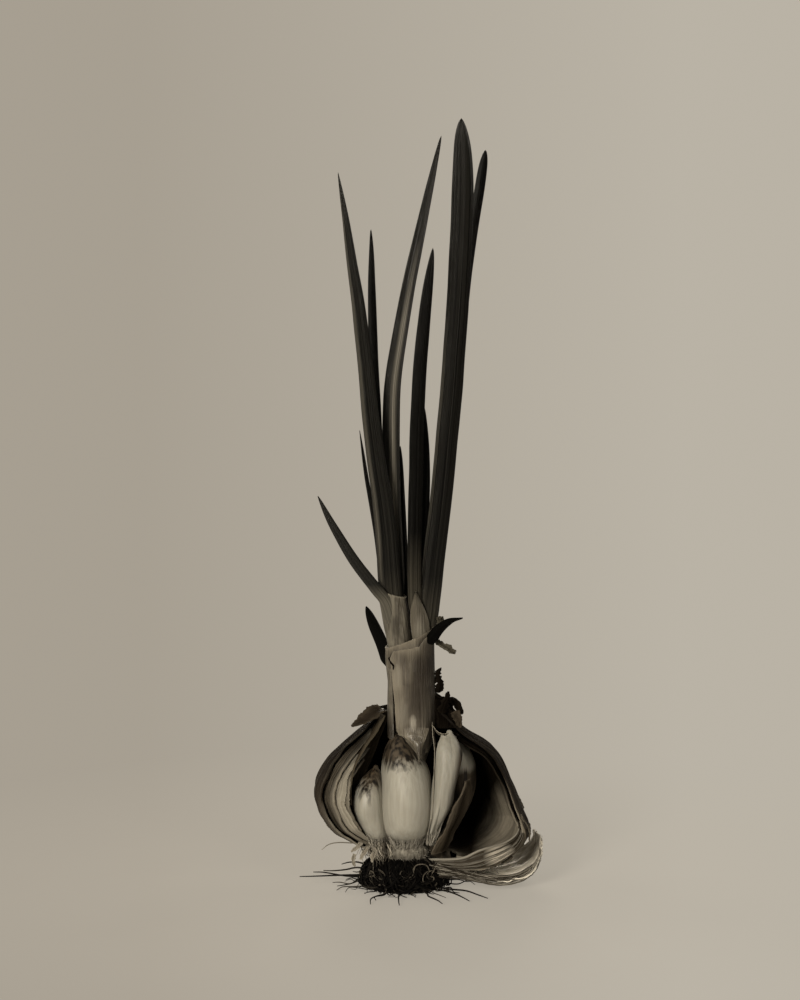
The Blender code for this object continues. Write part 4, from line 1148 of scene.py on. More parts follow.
def add_plate():
    def out(turn, t):
        x, y = math.sin(math.radians(turn)) * 3, math.cos(math.radians(turn)) * 3
        return 0.0005 * wobble(x, y, t * 6) + 0.0003 * wobble(x * 3, y * 3, t * 16)
    work = Patchwork()
    add_body(work, BASAL_PLATE, 40, 90, out=out, domes=(0.0, 0.0006))
    work.finish("basal_plate", plate_material(), ["basal_plate"])
    draw = random.Random(5)
    fuzz = Patchwork()
    for _ in range(420):
        turn = draw.uniform(0, 360)
        t = draw.uniform(0.30, 1.0)
        start = side_point(BASAL_PLATE, turn, t, -0.0002)
        out = (side_point(BASAL_PLATE, turn, t, 0.001) - side_point(BASAL_PLATE, turn, t)).normalized()
        reach = draw.uniform(0.0003, 0.0011)
        drift = Vector((draw.uniform(-1, 1), draw.uniform(-1, 1), draw.uniform(-0.6, 1.2))) * 0.0007
        path = [start, start + out * reach * 0.6 + drift * 0.4, start + out * reach + drift]
        add_fibre(fuzz, path, draw.uniform(0.00006, 0.00013), t * draw.uniform(0.5, 1.0), 4, 4)
    for _ in range(260):
        table, reach = draw.choice(((HEART_LOBE, 0.16), (HEART_LOBE, 0.10), (LEFT_LOBE, 0.22),
                                    (RIGHT_LOBE, 0.2)))
        turn = draw.uniform(-95, 95)
        t = draw.uniform(0.0, reach)
        start = side_point(table, turn, t, 0.0001)
        lower = side_point(table, turn + draw.uniform(-8, 8), 0, 0.0001)
        lower -= Vector((0, 0, draw.uniform(0.001, 0.003)))
        middle = start.lerp(lower, 0.5) + Vector((draw.uniform(-1, 1), draw.uniform(-1.2, 0), 0)) * 0.0004
        add_fibre(fuzz, [lower, middle, start], draw.uniform(0.00006, 0.00012), draw.uniform(0.3, 1.0), 5, 4)
    fuzz.finish("plate_fuzz", fibre_material("fuzz", (0.06, 0.048, 0.034), (0.52, 0.49, 0.42), 0.8))


def add_frayed_bases():
    """Torn, shredded feet of the scales around the plate's left side, and a sliver of skin beside them."""
    draw = random.Random(21)
    work = Patchwork()
    for _ in range(220):
        turn = math.radians(draw.uniform(266, 328))
        radius = draw.uniform(0.0095, 0.0170)
        height = draw.uniform(0.0138, 0.0195)
        start = Vector((0.001 + radius * math.sin(turn), -0.001 - radius * math.cos(turn), height))
        inwards = Vector((-math.sin(turn), math.cos(turn), 0))
        way = inwards * draw.uniform(-0.5, 1.1)
        way += Vector((draw.uniform(-0.4, 0.6), draw.uniform(-0.7, 0), -1.1))
        reach = draw.uniform(0.0012, 0.0038)
        bend = Vector((draw.uniform(-1, 1), draw.uniform(-1, 1), draw.uniform(-1, 1))) * reach * 0.25
        path = [start, start + way * reach * 0.5 + bend, start + way * reach]
        add_fibre(work, path, draw.uniform(0.00007, 0.00018), draw.choice((0.1, 0.3, 0.6, 1.0)), 8, 4)
    arc = [(-0.0185, -0.0070, 0.0172), (-0.0235, -0.0078, 0.0176), (-0.0270, -0.0084, 0.0170),
           (-0.0294, -0.0088, 0.0152)]
    add_fibre(work, arc, 0.00020, 0.4, 20, 5)
    work.finish("frayed_fibres", fibre_material("fray", (0.045, 0.036, 0.025), (0.42, 0.385, 0.315), 0.75))
    flakes = Patchwork()
    places = (
        ((-0.0125, -0.0078, 0.0165), (-0.0146, -0.0090, 0.0138), (-0.0158, -0.0096, 0.0118), 0.0018),
        ((-0.0096, -0.0092, 0.0172), (-0.0112, -0.0106, 0.0142), (-0.0116, -0.0112, 0.0112), 0.0020),
        ((-0.0150, -0.0080, 0.0180), (-0.0172, -0.0088, 0.0160), (-0.0190, -0.0092, 0.0146), 0.0015),
        ((-0.0178, -0.0080, 0.0135), (-0.0184, -0.0086, 0.0112), (-0.0176, -0.0090, 0.0092), 0.0016),
    )
    for seed, (one, two, three, width) in enumerate(places):
        strip = Leaf("flake", [one, two, three], width, 0.0004, -20 + seed * 14, 0.2, 0.9, 3.0, 0.6)
        add_torn(flakes, strip, seed * 5.0, 0.6, 0.0003, 0.0002)
    flakes.finish("frayed_flakes", skin_material("frayed_skin", (0.20, 0.175, 0.135), (0.10, 0.08, 0.055),
                                                 (0.40, 0.37, 0.31), 0.7))


def fallen_point(turn, u, drop=0.0):
    """A point under the fallen scale, `drop` below its face."""
    radii, heights = [r for r, z in FALLEN_OUTLINE], [z for r, z in FALLEN_OUTLINE]
    point = round_axis(turn, Vector((smooth_value(radii, u), smooth_value(heights, u), 0)))
    point.z = max(point.z - drop, 0.0004)
    return point


def add_scale_fibres():
    """Pale shredded fibres that fan from the plate along the fallen scale, out past its rim."""
    draw = random.Random(33)
    work = Patchwork()

    def edge(u):
        return smooth_value(FALLEN_SCALE.start, u)

    for _ in range(90):
        start = Vector((draw.uniform(0.0085, 0.0130), draw.uniform(-0.0115, -0.0070),
                        draw.uniform(0.0060, 0.0105)))
        across = draw.uniform(-3, 10)
        reach = draw.uniform(0.35, 1.0)
        drop = draw.choice((0.0007, -0.0010, -0.0016))
        points = [start]
        for share in (0.4, 0.6, 0.8, 1.0):
            u = reach * share
            sway = Vector((draw.uniform(-1, 1), draw.uniform(-1, 1), draw.uniform(-0.5, 0.5))) * 0.0004
            points.append(fallen_point(edge(u) + across, u, drop) + sway)
        radius = draw.uniform(0.00008, 0.00017)
        add_fibre(work, points, radius, draw.choice((0.0, 0.0, 0.15, 0.6, 1.0)), 20, 4)
    for _ in range(60):
        u = draw.uniform(0.82, 0.99)
        start = fallen_point(edge(u) + draw.uniform(-1, 24), u, 0.0)
        flick = Vector((draw.uniform(-0.5, 0.4), draw.uniform(-0.6, 0.2), draw.uniform(0.3, 1.0))) * 0.0013
        bend = Vector((draw.uniform(-1, 1), draw.uniform(-1, 1), 0)) * 0.0003
        add_fibre(work, [start, start + flick * 0.5 + bend, start + flick], draw.uniform(0.00005, 0.00010),
                  0.9, 6, 4)
    for _ in range(110):
        turn = draw.uniform(68, 84)
        u = draw.uniform(0.02, 0.24)
        flat = outline_reader(RIGHT_OUTLINE)(turn, u)
        start = round_axis(turn, flat) + Vector((0, -0.0006, -0.0004))
        way = Vector((draw.uniform(-0.9, 0.9), draw.uniform(-0.9, 0.1), draw.uniform(-0.6, 0.3))) * 0.0028
        bend = Vector((draw.uniform(-1, 1), draw.uniform(-1, 1), draw.uniform(-1, 1))) * 0.0005
        points = [start, start + way * 0.5 + bend, start + way]
        add_fibre(work, points, draw.uniform(0.00006, 0.00013), draw.choice((0.0, 0.2, 0.6)), 8, 4)
    work.finish("scale_fibres", fibre_material("scale_fibre", (0.04, 0.032, 0.023), (0.40, 0.37, 0.31), 0.7))


def add_scales():
    """The dry skins of the bulb, each ribbed, ragged at its edges and pale along its rim."""
    up = (0, 0, 1)
    # The outer skin's near-black inside is painted shade in the hollow.
    brown = skin_material("brown_skin", (0.042, 0.033, 0.024), (0.009, 0.0066, 0.0045), (0.34, 0.31, 0.25),
                          0.6, shade=(up, 0.034, 0.050), lit=((0.25, 0.225, 0.178), 0.0200, 0.0265),
                          rim_fade=(0.022, 0.034), lines=0.62, dull=((1, 0, 0.25), 0.020, 0.034),
                          threads=0.55, dark_spots=(((0.0130, -0.0080, 0.0128), 0.0048),),
                          back=(0.135, 0.110, 0.078))
    work = Patchwork()

    def lip(a, b):
        fat = 0.0008 * math.exp(-a * 0.142 / 0.0010) * (1 - ease((b - 0.40) / 0.15))
        return 0.0006 + fat

    add_scale(work, OUTER_SKIN, skin_outline, 200, 100, lip)
    work.finish("outer_skin", brown, ["outer_skin"])
    slope = (0.8, 0, 1)
    # Each left scale darkens towards its upper right with painted shade.
    looks = (
        (LEFT_SCALES[0], (0.115, 0.099, 0.075), (0.0270, 0.0390), 0.0009, 0.65),
        (LEFT_SCALES[1], (0.330, 0.303, 0.247), (0.0290, 0.0400), 0.0012, 0.35),
        (LEFT_SCALES[2], (0.115, 0.097, 0.071), (0.0240, 0.0350), 0.0003, 0.60),
    )
    for scale, colour, shade, curl, lines in looks:
        material = skin_material(scale.name + "_skin", colour, (0.070, 0.053, 0.034), (0.36, 0.33, 0.27),
                                 0.5, 0.5, (slope, *shade), deep_line=0.09, lines=lines, threads=0.5)
        work = Patchwork()
        add_scale(work, scale, skin_outline, 80, 90, 0.0007, 0.00015, curl=curl)
        work.finish(scale.name, material, [scale.name])
    # The right scale's near-black inside is painted shade in the hollow.
    wall = skin_material("hollow_skin", (0.040, 0.032, 0.022), (0.008, 0.006, 0.004), (0.30, 0.27, 0.215),
                         0.6, shade=(up, 0.024, 0.046), lit=((0.24, 0.215, 0.170), 0.0200, 0.0265),
                         rim_fade=(0.022, 0.032), lines=0.45, dark_spots=(((0.0130, -0.0080, 0.0128), 0.0048),))
    work = Patchwork()
    add_scale(work, RIGHT_SCALE, skin_outline, 80, 90, 0.0006, 0.0003)
    work.finish("right_scale", wall, ["right_scale"])
    # The fallen scale's inside is pale of its own and made paler still as painted light, for the highlight in
    # its cup.
    striped = skin_material("fallen_skin", (0.34, 0.31, 0.25), (0.86, 0.80, 0.68), (0.70, 0.66, 0.57), 0.85,
                            0.5, stripes=(34, 0.8), deep_line=0.12,
                            dark_spots=(((0.0220, -0.0125, 0.0060), 0.0130),))
    work = Patchwork()
    add_scale(work, FALLEN_SCALE, outline_reader(FALLEN_OUTLINE), 110, 70, 0.0004, 0.0005, 42, 0.00045,
              end_teeth=0.07)
    work.finish("fallen_scale", striped, ["fallen_scale"])
    tan = skin_material("tan_sheath", (0.034, 0.027, 0.018), (0.03, 0.024, 0.016), (0.12, 0.10, 0.075), 0.7,
                        0.5, deep_line=0.35)
    work = Patchwork()
    add_scale(work, LOBE_SHEATH, outline_reader(SHEATH_OUTLINE), 40, 60, 0.0006, 0.00015)
    work.finish("lobe_sheath", tan, ["lobe_sheath"])


def add_lower_flap():
    """A torn layer of skin that stands up from the hollow's lower edge, its own edge a pale lip."""
    low = [(0.0070, -0.0056, 0.0096), (0.0130, -0.0076, 0.0092), (0.0205, -0.0110, 0.0088),
           (0.0298, -0.0126, 0.0106), (0.0384, -0.0116, 0.0152), (0.0418, -0.0088, 0.0200),
           (0.0420, -0.0066, 0.0245)]
    lip = [(0.0082, -0.0070, 0.0112), (0.0145, -0.0092, 0.0118), (0.0208, -0.0106, 0.0128),
           (0.0268, -0.0106, 0.0156), (0.0350, -0.0078, 0.0174), (0.0396, -0.0062, 0.0204),
           (0.0407, -0.0052, 0.0246)]
    second = [Vector(a).lerp(Vector(b), 0.5) + Vector((0, -0.0006, 0)) for a, b in zip(low, lip)]
    # The flap's pale patch is a painted highlight.
    striped = skin_material("flap_skin", (0.030, 0.024, 0.017), (0.020, 0.016, 0.011), (0.06, 0.05, 0.036),
                            0.3, 0.5, stripes=(22, 1.6), deep_line=0.10, lines=0.9, threads=0.25,
                            highlight_patches=(((0.0335, -0.0112, 0.0134), 0.0068, (0.42, 0.385, 0.32)),))
    work = Patchwork()
    inner = [(0.0078, -0.0040, 0.0095), (0.0080, -0.0042, 0.0125), (0.0084, -0.0044, 0.0156)]
    outer = [(0.0165, -0.0060, 0.0095), (0.0162, -0.0058, 0.0120), (0.0156, -0.0052, 0.0142)]
    add_between(work, inner, outer, 14, 14, 22.0, 0.0004, crumple=0.0003)
    add_between(work, low, lip, 26, 80, 12.0, 0.0004, bow=(0, -0.0008, -0.0004), crumple=0.00025)
    work.finish("lower_flap", striped)
    edges = Patchwork()
    draw = random.Random(8)
    add_fibre(edges, lip, 0.00050, 0.62, 60, 8)
    add_fibre(edges, second, 0.00020, 0.3, 60, 6)
    for _ in range(11):
        share = draw.uniform(0.1, 0.9)
        first, last = draw.uniform(0.0, 0.35), draw.uniform(0.6, 1.0)
        path = []
        for k in range(6):
            t = first + (last - first) * k / 5
            sway = Vector((0, -0.0009, draw.uniform(-0.00025, 0.00025)))
            path.append(smooth_point(low, t).lerp(smooth_point(lip, t), share) + sway)
        add_fibre(edges, path, draw.uniform(0.00007, 0.00014), draw.choice((0.1, 0.2, 0.5)), 24, 4)
    edges.finish("flap_lips", fibre_material("lip", (0.05, 0.042, 0.031), (0.37, 0.345, 0.29), 0.5))


def add_peelings():
    """Small dry flakes that stand off the outer skin all round, most of them at its right edge."""
    draw = random.Random(17)
    work = Patchwork()
    turns = [draw.uniform(76, 98) for _ in range(9)] + [draw.uniform(258, 278) for _ in range(6)]
    turns += [draw.uniform(105, 250) for _ in range(14)]
    for seed, turn in enumerate(turns):
        u = draw.uniform(0.16, 0.62)
        path = []
        for k in range(4):
            spot = round_axis(turn + draw.uniform(-1, 1), skin_outline(turn, u - 0.022 * k))
            away = Vector((math.sin(math.radians(turn)), -math.cos(math.radians(turn)), 0))
            path.append(tuple(spot + away * (0.00025 + 0.00028 * k * draw.uniform(0.6, 1.2))))
        flake = Leaf("peeling", path, draw.uniform(0.0012, 0.0026), 0.0003, -turn, 0.3, 0.9, 2.0, 0.5)
        add_torn(work, flake, seed * 3.0, 0.7, 0.0003, 0.00015)
    peel = skin_material("peeling_skin", (0.050, 0.040, 0.029), (0.035, 0.028, 0.020), (0.19, 0.168, 0.130),
                         0.6, threads=0.4)
    work.finish("peelings", peel)


def add_left_hollow():
    """The inner face of the innermost scale, seen through the gap at the upper left, and its folds."""
    dark = skin_material("inner_face", (0.040, 0.030, 0.018), (0.02, 0.016, 0.011), (0.10, 0.085, 0.06), 0.5,
                         0.6, stripes=(60, 1.2), deep_line=0.15)
    front = [
        (-0.0190, -0.0150, 0.0330), (-0.0192, -0.0152, 0.0390), (-0.0180, -0.0140, 0.0460),
        (-0.0140, -0.0110, 0.0530), (-0.0100, -0.0080, 0.0580), (-0.0072, -0.0056, 0.0632),
    ]
    rear = [
        (-0.0150, 0.0000, 0.0330), (-0.0140, 0.0010, 0.0400), (-0.0110, 0.0020, 0.0470),
        (-0.0085, 0.0016, 0.0540), (-0.0066, 0.0010, 0.0590), (-0.0058, 0.0000, 0.0635),
    ]
    work = Patchwork()
    add_between(work, front, rear, 40, 70, 2.0, 0.0005, bow=(-0.0020, 0.0030, 0), crumple=0.0004)
    work.finish("left_hollow_face", dark)


def add_tatters():
    """Torn ends of dry skin round the neck, the neck's strip and the dry scrap and curl."""
    dark = skin_material("tattered_skin", (0.006, 0.0046, 0.0034), (0.005, 0.004, 0.003),
                         (0.014, 0.011, 0.008), 0.5, 0.8, gloss=0.0)
    brown = skin_material("flaky_skin", (0.026, 0.020, 0.0135), (0.020, 0.015, 0.0105),
                          (0.075, 0.061, 0.043), 0.5, 0.7, threads=0.35)
    looks = {
        "tatter_left": (brown, 2, 0.5, 0.95), "tatter_back_left": (dark, 2, 0.4, 0.7),
        "tatter_back": (dark, 2, 0.4, 1.0), "tatter_right": (dark, 2, 0.5, 0.55),
        "tatter_upright": (dark, 1, 0.7, 0.6), "neck_chip": (dark, 1, 1.2, 0.9),
    }
    drops = {"tatter_left": 0.0010, "tatter_back_left": 0.0024, "tatter_back": 0.0050}
    for leaf in TATTERS:
        material, layers, teeth, wide = looks[leaf.name]
        lower = Vector((0, 0, drops.get(leaf.name, 0.0)))
        leaf = leaf._replace(path=[tuple(Vector(point) - lower) for point in leaf.path])
        work = Patchwork()
        for layer in range(layers):
            add_torn(work, leaf, layer * 11.0, teeth, 0.0002 + 0.0001 * layer, 0.0003,
                     wide=wide - 0.1 * layer)
        work.finish(leaf.name, material, [leaf.name])
    work = Patchwork()
    outline = (
        (19.0, 58.0), (19.9, 59.4), (20.1, 61.2), (19.4, 62.7), (18.3, 63.7), (17.1, 64.8), (16.6, 66.2),
        (15.8, 68.4), (13.4, 68.9), (12.0, 69.6), (10.4, 70.7), (10.3, 73.5), (11.6, 75.0), (10.3, 76.5),
    )
    for depth, share in ((-0.0020, 1.0), (-0.0034, 0.86)):
        mass_right = [(0.0095 + (x / 1000 - 0.0095) * share, depth, z / 1000) for x, z in outline]
        mass_left = [(0.0090, depth - 0.0012, z / 1000) for x, z in outline]
        add_between(work, mass_left, mass_right, 40, 90, depth * 900, 0.0003, crumple=0.0005, teeth=0.10)
    # A near-black line in the gap between the strip and the sleeve: painted shadow.
    gap_shadow_line = [(-0.0042, -0.0062, 0.0835), (-0.0041, -0.0066, 0.0760), (-0.0039, -0.0069, 0.0690),
            (-0.0038, -0.0072, 0.0620), (-0.0037, -0.0078, 0.0560)]
    add_fibre(work, gap_shadow_line, 0.00034, 0.0, 40, 6)
    hook = ((-0.0056, 0.0838), (-0.0048, 0.0822), (-0.0041, 0.0812), (-0.0041, 0.0799))
    add_fibre(work, [(x, front_of(NECK, x, z) - 0.0008, z) for x, z in hook], 0.00042, 0.0, 16, 6)
    work.finish("ragged_neck_skin", dark)
    work = Patchwork()
    pale_flake = Leaf("pale_flake", [(0.0172, -0.0034, 0.0640), (0.0186, -0.0040, 0.0615),
                                     (0.0194, -0.0040, 0.0582)],
                      0.0032, 0.0004, 10, 0.15, 0.9, 3.0, 0.6)
    add_torn(work, pale_flake, 4.0, 0.4, 0.0004)
    work.finish("pale_flake", brown)
    strip = sheath_material("strip_sheath", (0.185, 0.167, 0.133), (0.040, 0.032, 0.023), (0.1, 0.2),
                            (((-0.0050, -0.0064, 0.0545), 0.0064, 0.95, (0.016, 0.012, 0.008)),), 0.1)
    left = [(-0.0060, -0.0030, 0.0800), (-0.0061, -0.0031, 0.0740), (-0.0062, -0.0032, 0.0683),
            (-0.0062, -0.0036, 0.0611), (-0.0061, -0.0050, 0.0552)]
    right = [(-0.0045, -0.0064, 0.0798), (-0.0043, -0.0066, 0.0740), (-0.0041, -0.0068, 0.0683),
             (-0.0040, -0.0072, 0.0611), (-0.0039, -0.0080, 0.0548)]
    work = Patchwork()
    add_between(work, left, right, 24, 70, 6.0, 0.0004, bow=(-0.0004, -0.0006, 0), crumple=0.00012,
                teeth=0.05)
    work.finish("neck_strip", strip, ["neck_strip"])
    leafy = skin_material("dried_leaf", (0.060, 0.054, 0.041), (0.05, 0.044, 0.033), (0.11, 0.10, 0.075),
                          0.4)
    for leaf in DRY_BITS:
        work = Patchwork()
        add_torn(work, leaf, 0.0, 0.5, 0.0005, 0.0006)
        work.finish(leaf.name, leafy, [leaf.name])


def add_sleeve(work):
    """The outer layer of the neck: a thin sleeve round its front, torn off along its top."""
    top_edge = [(-46, 0.0842), (-34, 0.0866), (-18, 0.0871), (-4, 0.0875), (20, 0.0881), (38, 0.0908),
                (52, 0.0928), (70, 0.0915), (100, 0.0900)]

    def point_at(a, b):
        turn = -46 + 146 * a + 1.2 * wobble(b * 6, 3.0) * (1 - a)
        top = 0.09
        for (one, low), (two, high) in zip(top_edge, top_edge[1:]):
            if one <= turn <= two:
                top = low + (high - low) * ease((turn - one) / (two - one))
        top += 0.00022 * rough(turn * 0.12, 5.0)
        foot = t_at_height(NECK, turn, 0.0500, NECK_SLANT)
        head = t_at_height(NECK, turn, top, NECK_SLANT)
        t = foot + (head - foot) * b
        out = 0.00036 + 0.00045 * math.exp(-(1 - b) * 26) * (1 + wobble(turn * 0.11, 9.0))
        out += 0.00035 * math.exp(-a * 16)
        out *= ease(b * 5) * ease((1 - a) * 6)
        return side_point(NECK, turn, t, out, NECK_SLANT)

    work.add_sheet(point_at, 100, 90, 0.00025, 0.020, 0.040, Vector((0.002, 0, 0.07)))


def add_tongue(work):
    """The neck's foot: its front layer runs down over the heart lobe's top and ends in a tongue."""
    heights = [0.0700, 0.0650, 0.0605, 0.0576, 0.0563, 0.0550, 0.0535, 0.0514, 0.0479]
    lefts = [-0.0036, -0.0034, -0.0032, -0.0029, -0.0006, 0.0014, 0.0028, 0.0039, 0.0049]
    rights = [0.0102, 0.0096, 0.0089, 0.0081, 0.0076, 0.0071, 0.0064, 0.0057, 0.0051]
    fronts = [-0.0094, -0.0098, -0.0101, -0.0105, -0.0109, -0.0113, -0.0118, -0.0129, -0.0150]

    def point_at(a, b):
        z = smooth_value(heights, b)
        left, right = smooth_value(lefts, b), smooth_value(rights, b)
        x = left + (right - left) * a
        own = smooth_value(fronts, b) + 0.0014 * (a * 2 - 1) ** 2
        y = front_of(NECK, x, z) + 0.0006 - 0.0014 * ease(b / 0.45)
        y += (own - y) * ease((b - 0.40) / 0.30)
        over_heart = front_of(HEART_LOBE, x, z) - 0.0003 if b > 0.5 else y
        return Vector((x, min(y, over_heart), z))

    work.add_sheet(point_at, 44, 70, 0.0003, 0.012, 0.022, Vector((0.003, 0.02, 0.06)))


def add_stems():
    """The neck with its torn sleeve and foot, and the two shoots that come out of it."""
    # The neck's three pale spots are painted highlights, and the near-black one at its right foot is painted
    # shade in the gap beside the right lobe.
    spots = (
        ((0.0050, -0.0085, 0.0800), 0.0056, 0.90, (0.030, 0.023, 0.016)),
        ((0.0044, -0.0088, 0.0700), 0.0054, 0.80, (0.036, 0.028, 0.020)),
        ((-0.0004, -0.0088, 0.0838), 0.0026, 0.60, (0.040, 0.031, 0.022)),
        ((-0.0027, -0.0078, 0.0770), 0.0026, 0.80, (0.280, 0.256, 0.208)),
        ((-0.0012, -0.0086, 0.0640), 0.0032, 0.55, (0.240, 0.220, 0.180)),
        ((0.0028, -0.0098, 0.0612), 0.0017, 0.90, (0.400, 0.370, 0.310)),
        ((0.0094, -0.0050, 0.0545), 0.0050, 1.00, (0.007, 0.005, 0.0035)),
        ((-0.0030, -0.0070, 0.0560), 0.0030, 0.90, (0.012, 0.009, 0.006)),
        ((-0.0052, -0.0062, 0.0838), 0.0014, 1.00, (0.006, 0.005, 0.004)),
    )
    neck = sheath_material("neck_sheath", (0.165, 0.146, 0.113), (0.036, 0.028, 0.020), (0.003, 0.0095),
                           spots)
    shoot = sheath_material("shoot_sheath", (0.185, 0.169, 0.134), (0.048, 0.040, 0.029), (-0.001, 0.003))
    # The small sheath's pale spot is a painted highlight.
    small = sheath_material("small_sheath", (0.098, 0.087, 0.067), (0.014, 0.0115, 0.008), (0.0055, 0.009),
                            (((0.0050, -0.0050, 0.0930), 0.0030, 0.7, (0.210, 0.195, 0.160)),))
    work = Patchwork()
    add_body(work, NECK, 100, 110, NECK_SLANT, bumps(0.00012, 0.00025, 6.0, 9.0), (0.0008, 0.0), 0.06,
             0.0004)
    add_sleeve(work)
    add_tongue(work)
    work.finish("neck", neck, ["neck"])
    work = Patchwork()
    add_body(work, LEFT_SHOOT, 60, 80, LEFT_SHOOT_SLANT, bumps(0.00010, 0.00015, 7.0, 9.0), open_top=0.25)
    work.finish("left_shoot", shoot, ["left_shoot"])
    work = Patchwork()
    add_body(work, RIGHT_SHOOT, 60, 80, RIGHT_SHOOT_SLANT, bumps(0.00008, 0.00010, 8.0, 9.0), open_top=0.25)
    left = [(0.0036, -0.0040, 0.1072), (0.0027, -0.0040, 0.1040), (0.0019, -0.0038, 0.0997),
            (0.0020, -0.0038, 0.0950), (0.0028, -0.0040, 0.0890)]
    right = [(0.0039, -0.0040, 0.1072), (0.0054, -0.0038, 0.1040), (0.0073, -0.0034, 0.0997),
             (0.0084, -0.0030, 0.0960), (0.0090, -0.0030, 0.0905)]
    add_between(work, left, right, 30, 60, 8.0, 0.0004, bow=(0, -0.0015, 0), crumple=0.00008)
    work.finish("right_shoot", small, ["right_shoot"])


def add_leaves():
    """The leaf blades, the front ones with a look of their own."""
    dark, light, pale = (0.0018, 0.0017, 0.0014), (0.0135, 0.0125, 0.0098), (0.060, 0.054, 0.041)
    black, dim = (0.0012, 0.0011, 0.0009), (0.0048, 0.0044, 0.0034)
    # Each front leaf's last tuple is a painted highlight, and the left leaf's places in x give its foot
    # painted shade.
    looks = {
        "leaf_left_tall": leaf_material("left_leaf", dark, light, pale, 0.098, 0.116, 0.31, 0.22,
                                        (-0.0022, -0.0010), (0.385, 0.085, 0.100, 0.235, 0.42)),
        "leaf_right_tall": leaf_material("right_leaf", dark, dimmed(light, 0.8), pale, 0.098, 0.112, 0.31,
                                         0.20, None, (0.430, 0.055, 0.110, 0.180, 0.25)),
        "leaf_middle_tall": leaf_material("bright_leaf", dark, light, black, 0.090, 0.100, 0.33, 0.18,
                                          None, (0.225, 0.085, 0.112, 0.200, 0.75)),
        "leaf_middle_dark": leaf_material("black_leaf", black, dim, (0.085, 0.076, 0.058), 0.104, 0.128,
                                          0.34, 0.10),
    }
    shaded = leaf_material("shaded_leaf", (0.0014, 0.0013, 0.0011), (0.0060, 0.0055, 0.0043),
                           (0.008, 0.0075, 0.006), 0.098, 0.118, 0.36, 0.12)
    low = leaf_material("low_leaf", (0.0012, 0.0011, 0.0009), (0.0035, 0.0032, 0.0026),
                        (0.006, 0.0055, 0.004), 0.070, 0.080, 0.6, 0.04)
    side = leaf_material("side_leaf", (0.0050, 0.0048, 0.0040), (0.020, 0.0193, 0.0158),
                         (0.185, 0.169, 0.134), 0.1035, 0.1100, 0.40)
    for leaf in TALL_LEAVES:
        add_leaf(leaf, looks.get(leaf.name, shaded), [leaf.name])
    for leaf in LOW_LEAVES:
        add_leaf(leaf, low, [leaf.name], steps=40)
    add_leaf(SIDE_BLADE, side, ["left_shoot"], steps=56)


def add_roots():
    """The root tuft: a dark core under matted roots, paler loops in front and loose ends."""
    draw = random.Random(11)
    work = Patchwork()
    core = []
    for height, radius in ((0.0, 0.72), (0.05, 0.88), (0.28, 0.90), (0.58, 0.80), (0.80, 0.62),
                           (0.92, 0.40)):
        ring = []
        for k in range(40):
            angle = math.tau * k / 40
            lump = 1 + 0.06 * wobble(math.cos(angle) * 3, math.sin(angle) * 3, height * 4)
            reach = TUFT_RADIUS * radius * lump
            flat = Vector((reach * math.cos(angle), reach * math.sin(angle), TUFT_HEIGHT * height))
            ring.append(TUFT_MIDDLE + flat)
        core.append(ring)
    work.add_tube(core, [0.002 * k for k in range(len(core))], tone=0.0)
    collar = [mound_point(math.radians(angle), 0.0098, 0.86) for angle in range(-170, -5, 20)]
    add_fibre(work, collar, 0.0017, 0.0, 30, 10)
    for _ in range(430):
        tone = draw.choice((0.0, 0.0, 0.0, 0.0, 0.0, 0.02, 0.05, 0.16))
        add_fibre(work, matted_path(draw), draw.uniform(0.00014, 0.00030), tone, 16, 5)
    for _ in range(130):
        path = matted_path(draw, 0.8, -math.pi / 2 + draw.uniform(-1.3, 1.3))
        add_fibre(work, path, draw.uniform(0.00014, 0.00026), draw.choice((0.0, 0.0, 0.0, 0.05)), 16, 5)
    for _ in range(15):
        angle = -math.pi / 2 + draw.gauss(0, 0.8)
        height = draw.uniform(0.0025, 0.0090)
        add_fibre(work, ringlet_path(draw, angle, height), draw.uniform(0.00016, 0.00026),
                  draw.uniform(0.4, 1.0), 34, 6)
    for x, y, z in LOOSE_ENDS:
        add_fibre(work, loose_path(draw, x, y, z), 0.00030, draw.choice((0.05, 0.1, 0.2)), 24)
    for _ in range(46):
        angle = draw.uniform(0, math.tau)
        reach = TUFT_RADIUS * draw.uniform(1.15, 1.75)
        tip = (reach * math.cos(angle), reach * math.sin(angle), draw.uniform(0.0003, 0.0016))
        add_fibre(work, loose_path(draw, *tip, curl=0.004), draw.uniform(0.00012, 0.00026),
                  draw.choice((0.0, 0.05, 0.3)), 18)
    wiry = fibre_material("wiry_root", (0.0016, 0.0013, 0.0010), (0.15, 0.132, 0.104), 0.75, 0.08)
    work.finish("root_tuft", wiry, ["root_tuft"])


# Ground, light and camera

def add_backdrop():
    """Round floor, wall and ceiling of one pale tone, a little lighter to the right as painted light."""
    turns = [math.tau * k / 96 for k in range(96)]
    rings = {
        "ground": (0.0, 0.02, 0.12, 0.30),
        "far_ground": (0.30, 1.0, 3.0),
    }
    for name, radii in rings.items():
        points, faces = [], []
        for r in radii:
            points += [(r * math.cos(turn), r * math.sin(turn), 0) for turn in turns]
        for row in range(len(radii) - 1):
            for k in range(96):
                after = (k + 1) % 96
                low, high = row * 96, (row + 1) * 96
                faces.append((low + k, high + k, high + after, low + after))
        stage_piece(name, points, faces, backdrop_material(name, 0.32 if name == "ground" else 0.0),
                    name == "ground")
    points, faces = [], []
    for z in (0.0, 4.0):
        points += [(3.0 * math.cos(turn), 3.0 * math.sin(turn), z) for turn in turns]
    points.append((0, 0, 4.0))
    for k in range(96):
        after = (k + 1) % 96
        faces.append((after, k, 96 + k, 96 + after))
        faces.append((96 + after, 96 + k, 192))
    stage_piece("backdrop", points, faces, backdrop_material("backdrop", 0.0), False)


